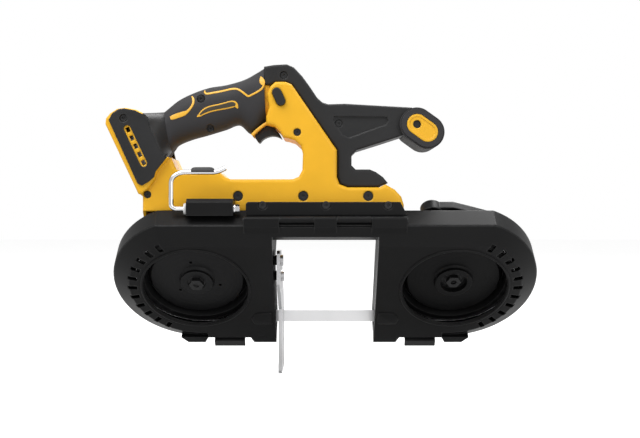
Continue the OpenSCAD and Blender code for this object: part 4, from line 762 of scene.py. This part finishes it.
@dataclass
class FootShoulder:
    """The dark slope between the battery foot's cover and the handle, on both sides."""

    grip: RearGrip
    edge: tuple[Flat, ...] = (
        (-178.0, 260.6), (-174.6, 258.4), (-172.0, 254.0), (-170.6, 247.0), (-157.6, 219.6),
        (-154.6, 217.2),
    )
    edge_depth: float = 33.3
    corner: float = 3.0
    station: int = 30
    reach: Flat = (0.1, 0.9)
    lift: float = 0.45
    sag: float = 1.15
    thick: float = 4.0
    seam: float = 0.5
    rows: int = 48
    steps: int = 22

    def build(self) -> None:
        """Makes the slope.

        Its depth is b + (a - b) (1 - s)^sag, from a at the cover's edge to b on the handle.
        """
        start = even(filleted(self.edge, self.corner), self.rows)
        start = np.column_stack([start, np.full(self.rows, self.edge_depth)])
        ring = self.grip.surface(0.0)[self.station]
        at = np.linspace(*self.reach, self.rows) * (len(ring) - 1)
        end = np.stack([np.interp(at, np.arange(len(ring)), ring[:, k]) for k in range(3)], axis=-1)
        end[:, 2] += self.lift
        s = np.linspace(0.0, 1.0, self.steps)[None, :, None]
        flat = start[:, None, :2] * (1 - s) + end[:, None, :2] * s
        depth = end[:, None, 2:] + (start[:, None, 2:] - end[:, None, 2:]) * (1 - s) ** self.sag
        top = np.concatenate([flat, depth], axis=-1)
        under = top.copy()
        under[..., 2] = np.maximum(under[..., 2] - self.thick, self.seam)
        loop = np.concatenate([top, under[:, ::-1]], axis=1)
        for sign, side in SIDES:
            points = upright(loop[..., 0], loop[..., 1], sign * loop[..., 2])
            make_piece(f"foot_shoulder_{side}", skin_over(points), "plastic_black",
                       "plastic_black", "saw_body", crease=SKIN_CREASE)


@dataclass
class FootScrews:
    """The dark socket heads at the top of the battery foot's covers."""

    x: float = -196.1
    z: float = 256.0
    face: float = 31.9
    radii: tuple[float, ...] = (0.02, 1.5, 1.75, 2.9, 3.4, 3.65, 3.65, 0.02)
    drops: tuple[float, ...] = (1.8, 1.8, 0.25, 0.0, 0.15, 0.6, 3.0, 3.0)
    socket: Flat = (1.0, 2.0)
    lobes: int = 6
    lobe_rise: float = 0.1
    sides: int = 60

    def build(self) -> None:
        """Makes both heads: a closed profile turned, with r (1 + q cos(n a)) in the socket."""
        r = np.array(self.radii)
        a = np.linspace(0, 2 * math.pi, self.sides, endpoint=False)[:, None]
        in_socket = (r > self.socket[0]) & (r < self.socket[1])
        reach = r[None] * np.where(in_socket, 1 + self.lobe_rise * np.cos(self.lobes * a), 1.0)
        x, z = self.x + reach * np.cos(a), self.z + reach * np.sin(a)
        depth = np.broadcast_to(self.face - np.array(self.drops), x.shape)
        for sign, side in SIDES:
            make_piece(f"foot_screw_{side}", skin_over(upright(x, z, sign * depth), ring=True),
                       "black_steel", "black_steel", "saw_body")


@dataclass
class GripTrim:
    """Raised coloured lines and the bare plate on the handle's two sides.

    A line holds the pixels of its middle with its half width there, also in pixels. The profile
    is flat topped, with its width and height in shares of the half width and the rise.
    """

    grip: RearGrip
    depth_y: float = -63.0
    rise: float = 0.42
    rear_line: tuple[Triple, ...] = (
        (191.4, 96.0, 0.5), (192.8, 98.4, 1.1), (193.4, 101.6, 1.15), (192.6, 105.2, 1.15),
        (190.2, 109.0, 1.2), (187.2, 112.0, 1.5), (183.8, 113.9, 2.4), (178.0, 115.8, 2.6),
        (173.6, 117.4, 2.5), (170.6, 118.3, 1.6),
    )
    fore_line: tuple[Triple, ...] = (
        (204.0, 90.1, 0.5), (204.6, 92.2, 0.9), (206.8, 93.6, 1.0), (213.5, 92.6, 1.0),
        (221.3, 91.2, 1.0), (231.6, 88.9, 1.0), (237.6, 89.3, 1.0), (243.1, 92.7, 1.0),
        (248.1, 96.3, 1.0), (252.3, 94.8, 1.0), (259.2, 91.0, 1.0), (262.4, 88.2, 1.0),
        (263.6, 85.4, 1.1), (262.9, 83.4, 2.4), (261.9, 80.6, 2.7), (261.2, 77.6, 1.3),
        (261.0, 76.4, 0.4),
    )
    plate_line: tuple[Triple, ...] = (
        (197.2, 117.0, 0.4), (200.2, 115.2, 1.7), (204.0, 112.2, 2.8), (210.0, 109.4, 3.3),
        (218.0, 107.6, 3.3), (226.0, 105.9, 3.6), (232.0, 104.5, 3.7), (235.6, 105.0, 2.7),
        (238.0, 108.6, 0.5),
    )
    plate_inset: float = 1.05
    plate_rise: float = 0.63
    profile_u: tuple[float, ...] = (-1, -0.86, -0.45, 0, 0.45, 0.86, 1, 0.8, -0.8)
    profile_h: tuple[float, ...] = (-0.2, 0.85, 1.0, 1.04, 1.0, 0.85, -0.2, -1.6, -1.6)
    least_half: float = 0.12
    nearest: int = 4
    blur: float = 0.02
    brink: int = 3
    thinning: int = 2

    def _lookup(self, flat: Array) -> tuple[Array, Array]:
        """Depth and outward direction of the handle's side at points of its front view.

        Each value is the mean of the nearest points of the surface, each weighted with
        1 / (distance + blur).

        Args:
            flat: The points (x, z), one a row.

        Returns:
            The depths and the unit directions (x, z, depth).
        """
        grid = self.grip.surface(0.0)
        normal = np.cross(np.gradient(grid, axis=0), np.gradient(grid, axis=1))
        normal /= np.maximum(np.linalg.norm(normal, axis=-1, keepdims=True), TINY)
        normal *= np.where(normal[..., 2:] < 0, -1.0, 1.0)
        cut = slice(self.brink, -self.brink)
        held = grid[:, cut].reshape(-1, 3)[::self.thinning]
        normal = normal[:, cut].reshape(-1, 3)[::self.thinning]
        away = np.linalg.norm(flat[:, None] - held[None, :, :2], axis=-1)
        near = np.argpartition(away, self.nearest, axis=1)[:, :self.nearest]
        weight = 1 / (np.take_along_axis(away, near, axis=1) + self.blur)
        weight /= weight.sum(axis=1, keepdims=True)
        depth = (held[near, 2] * weight).sum(axis=1)
        direction = (normal[near] * weight[..., None]).sum(axis=1)
        return depth, direction / np.linalg.norm(direction, axis=1, keepdims=True)

    def _ribbon(self, line: Sequence[Triple], widen: float, rise: float, count: int) -> Array:
        """A low ribbon that lies on the handle's side.

        Point (i, j) is the surface at path_i + w_i u_j n_i, raised along the surface's direction
        by rise h_j, where u, h is the profile.

        Args:
            line: Pixels of its middle line with half widths.
            widen: Half width to add, in millimetres.
            rise: Height over the surface.
            count: Points along it.

        Returns:
            The grid (x, z, depth), count by the profile's length by three.
        """
        pixels = np.asarray(line, float)
        flat = from_photo(pixels[:, :2], self.depth_y)
        k = (self.depth_y - EYE[1]) / FOCAL
        way = flow(np.column_stack([flat, pixels[:, 2] * k]), count)
        across = left_normals(way[:, :2])
        half = np.maximum(way[:, 2] + widen, self.least_half)
        u, h = np.array(self.profile_u), np.array(self.profile_h)
        place = way[:, None, :2] + (half[:, None] * u)[..., None] * across[:, None]
        depth, direction = self._lookup(place.reshape(-1, 2))
        base = np.concatenate([place.reshape(-1, 2), depth[:, None]], axis=1)
        lift = np.tile(h, count)[:, None] * rise
        return (base + direction * lift).reshape(count, len(u), 3)

    def build(self) -> None:
        """Makes the lines and the plate on both sides."""
        yellow, dark = ("trim_yellow", "body_yellow"), ("trim_dark", "plastic_black")
        parts = (
            ("line_rear", self.rear_line, 0.0, self.rise, 90, yellow),
            ("line_fore", self.fore_line, 0.0, self.rise, 150, yellow),
            ("plate_rim", self.plate_line, 0.0, self.rise, 110, yellow),
            ("plate", self.plate_line[1:-1], -self.plate_inset, self.plate_rise, 90, dark),
        )
        for name, line, widen, rise, count, looks in parts:
            grid = self._ribbon(line, widen, rise, count)
            for sign, side in SIDES:
                shape = skin_over(upright(grid[..., 0], grid[..., 1], sign * grid[..., 2]))
                make_piece(f"handle_{name}_{side}", shape, *looks, "saw_body")


@dataclass
class TriggerGroup:
    """The trigger's blade and the coloured rib over it."""

    outline: tuple[Flat, ...] = RearGrip.trigger
    corner: float = 3.0
    points: int = 150
    half_w: float = 7.5
    edge_r: float = 0.9
    guard: tuple[Flat, ...] = (
        (252.0, 135.4), (255.0, 132.2), (259.0, 128.7), (263.6, 125.2), (268.0, 122.8),
        (273.0, 121.0),
    )
    guard_y: float = -60.0
    guard_half: Flat = (1.5, 3.7)
    guard_depth: float = 12.3
    guard_points: int = 50

    def build(self) -> None:
        """Makes the trigger and both ribs."""
        outline = filleted(self.outline, self.corner, closed=True)
        outline = even(outline, self.points, closed=True)
        blade = cushioned(outline, -self.half_w, self.half_w, self.edge_r, upright)
        make_piece("trigger_blade", blade, "plastic_black", "plastic_black", "trigger_body",
                   replaces=["trigger"])
        way = flow(from_photo(self.guard, self.guard_y), self.guard_points)
        across, up = facing(left_normals(way))
        section = soft_box(*self.guard_half)
        for sign, side in SIDES:
            path = upright(way[:, 0], way[:, 1], np.full(len(way), sign * self.guard_depth))
            make_piece(f"trigger_rib_{side}", carried(path, across, up, section), "trim_yellow",
                       "body_yellow", "saw_body")


# Wheel cover

@dataclass
class CoverTrim:
    """Lips round the wheel cover's windows and bands beside its throat.

    The band's outline is given as x from the throat's wall and h, its levels from the face.
    """

    face_p: float = 19.0
    lip_r: float = 53.6
    lip_half: float = 1.5
    lip_rise: float = 1.3
    lip_foot: float = -0.3
    lip_sides: int = 18
    lip_around: int = 128
    throat_x: float = 51.0
    band: tuple[Flat, ...] = ((3, -52), (22, -52), (25, -44), (20, -36), (3, -34))
    band_levels: Flat = (-0.4, 0.9)
    band_corner: float = 2.0
    band_edge: float = 0.6
    band_points: int = 90

    def _lip(self, side: int) -> Shape:
        """A low round lip: the profile (r + w cos(a), p + h max(sin(a), foot)) turned round."""
        a = np.linspace(0, 2 * math.pi, self.lip_sides, endpoint=False)
        r = self.lip_r + self.lip_half * np.cos(a)
        p = self.face_p + self.lip_rise * np.maximum(np.sin(a), self.lip_foot)
        return turned(np.stack([r, p], axis=-1), side * WHEEL_X, self.lip_around)

    def _band(self, side: int) -> Shape:
        """A raised strip on the cover's face at the blade's level, with its ends sloped."""
        corners = np.array(self.band, float) + (self.throat_x, 0.0)
        ring = even(filleted(corners, self.band_corner, closed=True), self.band_points, closed=True)
        low, high = self.face_p + self.band_levels[0], self.face_p + self.band_levels[1]

        def place(x: Array, h: Array, p: Array) -> Array:
            """Slab points on this side of the throat."""
            return slab(side * x, h, p)

        return cushioned(ring, low, high, self.band_edge, place)

    def build(self) -> None:
        """Makes the trim on both lobes."""
        for side, name in ((-1, "left"), (1, "right")):
            for kind, shape in (("window_lip", self._lip(side)), ("blade_band", self._band(side))):
                make_piece(f"{kind}_{name}", shape, "cover_black", "cover_black", "cover")


# Hook

@dataclass
class HangingHook:
    """The folding hook: a bent bright bar, its collar and its soft rest.

    The bar runs from inner_x along the pivot to the left, up by the rise, cuts the corner by
    shoulder, runs right over the arm's length and ends with the tip's steps.
    """

    y: float = -90.0
    radius: float = 2.4
    pivot_z: float = 167.7
    rise: float = 35.1
    left: float = -147.8
    arm: float = 44.0
    inner_x: float = -82.0
    shoulder: Flat = (8.6, 5.6)
    tip: Flat = (8.5, 4.2)
    bend: float = 5.5
    bend_steps: int = 12
    bar_points: int = 260
    bar_sides: int = 28
    end_slope: float = 160.0
    end_share: float = 0.75
    collar_x: float = -135.7
    collar_length: float = 2.8
    collar_rise: float = 3.0
    collar_power: float = 5.0
    collar_sides: int = 24
    collar_around: int = 40
    rest: Flat = (-128.5, -106.5)
    rest_thick: float = 2.5
    rest_power: int = 7
    rest_least: float = 0.05
    rest_side: float = 0.55
    rest_play: float = 0.02
    rest_over: float = 0.06
    rest_rows: int = 60
    rest_cols: int = 26

    def _bar(self) -> Shape:
        """The bar: a circle carried along the rounded line of the hook."""
        top, end = self.pivot_z + self.rise, self.left + self.arm
        corners = [
            (self.inner_x, self.pivot_z), (self.left, self.pivot_z),
            (self.left, top - self.shoulder[1]), (self.left + self.shoulder[0], top),
            (end, top), (end + self.tip[0], top + self.tip[1]),
        ]
        path = even(filleted(corners, self.bend, steps=self.bend_steps), self.bar_points)
        across, up = facing(left_normals(path))
        place = np.stack([path[:, 0], np.full(len(path), self.y), path[:, 1]], axis=-1)
        run = np.linspace(0, 1, len(path))
        to_end = np.clip(np.minimum(run, 1 - run) * self.end_slope, 0, 1)
        size = to_end ** 0.5 * (1 - self.end_share) + self.end_share
        return carried(place, across, up, round_section(self.radius, self.bar_sides), size)

    def _collar(self) -> Shape:
        """The collar: a profile with rounded corners turned about the pivot's line."""
        a = np.linspace(0, 2 * math.pi, self.collar_around, endpoint=False)[:, None]
        half = self.collar_length / 2
        box = soft_box(half, self.collar_rise / 2, self.collar_power, self.collar_sides)
        r = self.radius + self.collar_rise / 2 + box[None, :, 1]
        x = np.broadcast_to(self.collar_x + half + box[None, :, 0], (len(a), len(box)))
        y, z = self.y + r * np.cos(a), self.pivot_z + r * np.sin(a)
        return skin_over(np.stack([x, y, z], axis=-1), ring=True)

    def _rest(self) -> Shape:
        """The soft rest: a half sleeve over the bar whose thickness falls off at both ends."""
        x = np.linspace(*self.rest, self.rest_rows)
        t = np.linspace(-1, 1, self.rest_rows)
        fall = np.clip(1 - np.abs(t) ** self.rest_power, self.rest_least, 1) ** 0.5
        thick = self.rest_thick * fall
        a = np.linspace(-self.rest_over, math.pi + self.rest_over, self.rest_cols)
        bore = self.radius + self.rest_play
        swell = self.rest_side + (1 - self.rest_side) * np.abs(np.sin(a))[None]
        outer = bore + thick[:, None] * swell
        r = np.concatenate([outer, np.full_like(outer, bore)], axis=1)
        angle = np.concatenate([a, a[::-1]])[None]
        points = np.stack([
            np.broadcast_to(x[:, None], r.shape),
            self.y - r * np.cos(angle),
            self.pivot_z + self.rise + r * np.sin(angle),
        ], axis=-1)
        return skin_over(points)

    def build(self) -> None:
        """Makes the hook's pieces."""
        make_piece("hook_bar", self._bar(), "chrome", "chrome", "hook", replaces=["hook_wire"])
        make_piece("hook_collar", self._collar(), "clean_white", "chrome", "hook")
        make_piece("hook_pad", self._rest(), "rest_rubber", "grip_rubber", "hook",
                   replaces=["hook_rest"])


# Finish of the solids that still show

@dataclass
class CadDress:
    """Gives every solid that still shows the finish of its slot, or its own."""

    own: dict[str, str] = field(default_factory=lambda: {
        "idler_wheel": "idler_metal",
        "idler_spindle": "black_steel",
        "idler_bearing": "black_steel",
        "hinge_pin": "black_steel",
        "flange_screws": "black_steel",
        "body_screws": "black_steel",
        "saw_blade": "blade_steel",
    })

    def build(self) -> None:
        """Assigns the finishes."""
        slots = {row["node"]: row["material_slot"] for row in frame["record"]["subparts"]}
        for name, obj in frame["nodes"].items():
            mat = PAINT.get(self.own.get(name, slots[name]))
            obj.data.materials.clear()
            obj.data.materials.append(mat)
        LOG.info("dressed %d solids", len(frame["nodes"]))


# Stage, lamps and camera

class Softness(Enum):
    """Size of a lamp's face as a share of its distance."""

    BROAD = 0.9
    MEDIUM = 0.55


@dataclass(frozen=True)
class Lamp:
    """A soft square lamp that looks at a point, with its places in metres."""

    name: str
    place: Triple
    aim: Triple
    watts: float
    softness: Softness

    def build(self) -> None:
        """Makes the lamp."""
        data = bpy.data.lights.new(self.name, "AREA")
        way = Vector(self.aim) - Vector(self.place)
        data.energy = self.watts
        data.shape = "SQUARE"
        data.size = way.length * self.softness.value
        lamp = bpy.data.objects.new(self.name, data)
        lamp.location = self.place
        lamp.rotation_euler = way.to_track_quat("-Z", "Y").to_euler()
        bpy.context.scene.collection.objects.link(lamp)


def ray_level(tree: Tree, seen_more: float, mirrored_more: float, fill: float) -> Socket:
    """A strength that a ray's kind decides.

    It is fill, plus seen_more for the camera's and for transmitted rays, plus mirrored_more for
    glossy ones.
    """
    path = tree.nodes.new("ShaderNodeLightPath").outputs
    seen = reckon(tree, "MAXIMUM", path["Is Camera Ray"], path["Is Transmission Ray"])
    mirrored = reckon(tree, "MULTIPLY_ADD", path["Is Glossy Ray"], mirrored_more, fill)
    return reckon(tree, "MULTIPLY_ADD", seen, seen_more, mirrored)


@dataclass
class Studio:
    """Pale floor and backdrop, soft lamps and the camera."""

    white: float = 0.5
    floor_glow: float = 0.8
    floor_mirror: float = 0.2
    floor_rough: float = 0.9
    floor_specular: float = 0.1
    floor_half: float = 6.0
    floor_points: int = 13
    floor_z: float = -0.0004
    world_fill: float = 0.3
    world_mirror: float = 0.6
    clip_end: float = 50.0
    lamps: tuple[Lamp, ...] = (
        Lamp("key", (-0.8, -0.85, 1.7), (0, -0.02, 0.18), 34.0, Softness.BROAD),
        Lamp("fill", (1.0, -1.6, 0.75), (0, -0.02, 0.15), 11.0, Softness.BROAD),
        Lamp("top", (0.5, 0.5, 1.5), (0, -0.02, 0.15), 20.0, Softness.MEDIUM),
        Lamp("back", (0.3, 1.5, 1.0), (0, 0, 0.15), 9.0, Softness.BROAD),
    )

    def _white(self, name: str) -> bpy.types.Material:
        """White paint whose glow lifts what the camera sees and, less so, what shines back."""
        mat = bpy.data.materials.new(name)
        mat.use_nodes = True
        tree = mat.node_tree
        wire(tree, tree.nodes["Principled BSDF"], {
            "Base Color": (self.white, self.white, self.white, 1),
            "Roughness": self.floor_rough,
            "Specular IOR Level": self.floor_specular,
            "Emission Color": (1, 1, 1, 1),
            "Emission Strength": ray_level(tree, self.floor_glow, self.floor_mirror, 0.0),
        })
        return mat

    def _floor(self) -> None:
        """The floor: a flat sheet just under the shoe's foot, in metres."""
        side = np.linspace(-self.floor_half, self.floor_half, self.floor_points)
        x, y = np.meshgrid(side, side, indexing="ij")
        shape = skin_over(np.stack([x, y, np.full_like(x, self.floor_z)], axis=-1), wrap=False)
        mesh = bpy.data.meshes.new("floor")
        mesh.from_pydata(shape.verts.tolist(), [], shape.faces)
        mesh.materials.append(self._white("PaleFloor"))
        obj = bpy.data.objects.new("floor", mesh)
        bpy.context.scene.collection.objects.link(obj)

    def _world(self) -> None:
        """A white surround that lights and is mirrored more weakly than the camera sees it."""
        world = bpy.data.worlds.new("Surround")
        bpy.context.scene.world = world
        world.use_nodes = True
        tree = world.node_tree
        fill = self.world_fill
        wire(tree, tree.nodes["Background"], {
            "Color": (1, 1, 1, 1),
            "Strength": ray_level(tree, 1.0 - fill, self.world_mirror - fill, fill),
        })

    def build(self) -> None:
        """Makes the stage, the lamps and the camera."""
        bpy.context.scene.view_settings.view_transform = "Standard"
        self._floor()
        self._world()
        for lamp in self.lamps:
            lamp.build()
        data = bpy.data.cameras.new("photo_view")
        data.lens = FOCAL / FRAME_W * SENSOR
        data.sensor_width = SENSOR
        data.clip_end = self.clip_end
        camera = bpy.data.objects.new("photo_view", data)
        camera.location = tuple((EYE + SHIFT) / MM)
        camera.rotation_euler = (math.pi / 2, 0, 0)
        bpy.context.scene.collection.objects.link(camera)
        bpy.context.scene.camera = camera


def main() -> None:
    """Builds the saw's looks in order."""
    logging.basicConfig(level=logging.INFO, format="%(name)s %(message)s")
    CadDress().build()
    grip = RearGrip()
    grip.build()
    FootShoulder(grip).build()
    FootScrews().build()
    GripTrim(grip).build()
    TriggerGroup().build()
    CoverTrim().build()
    HangingHook().build()
    Studio().build()


if __name__ == "__main__":
    main()
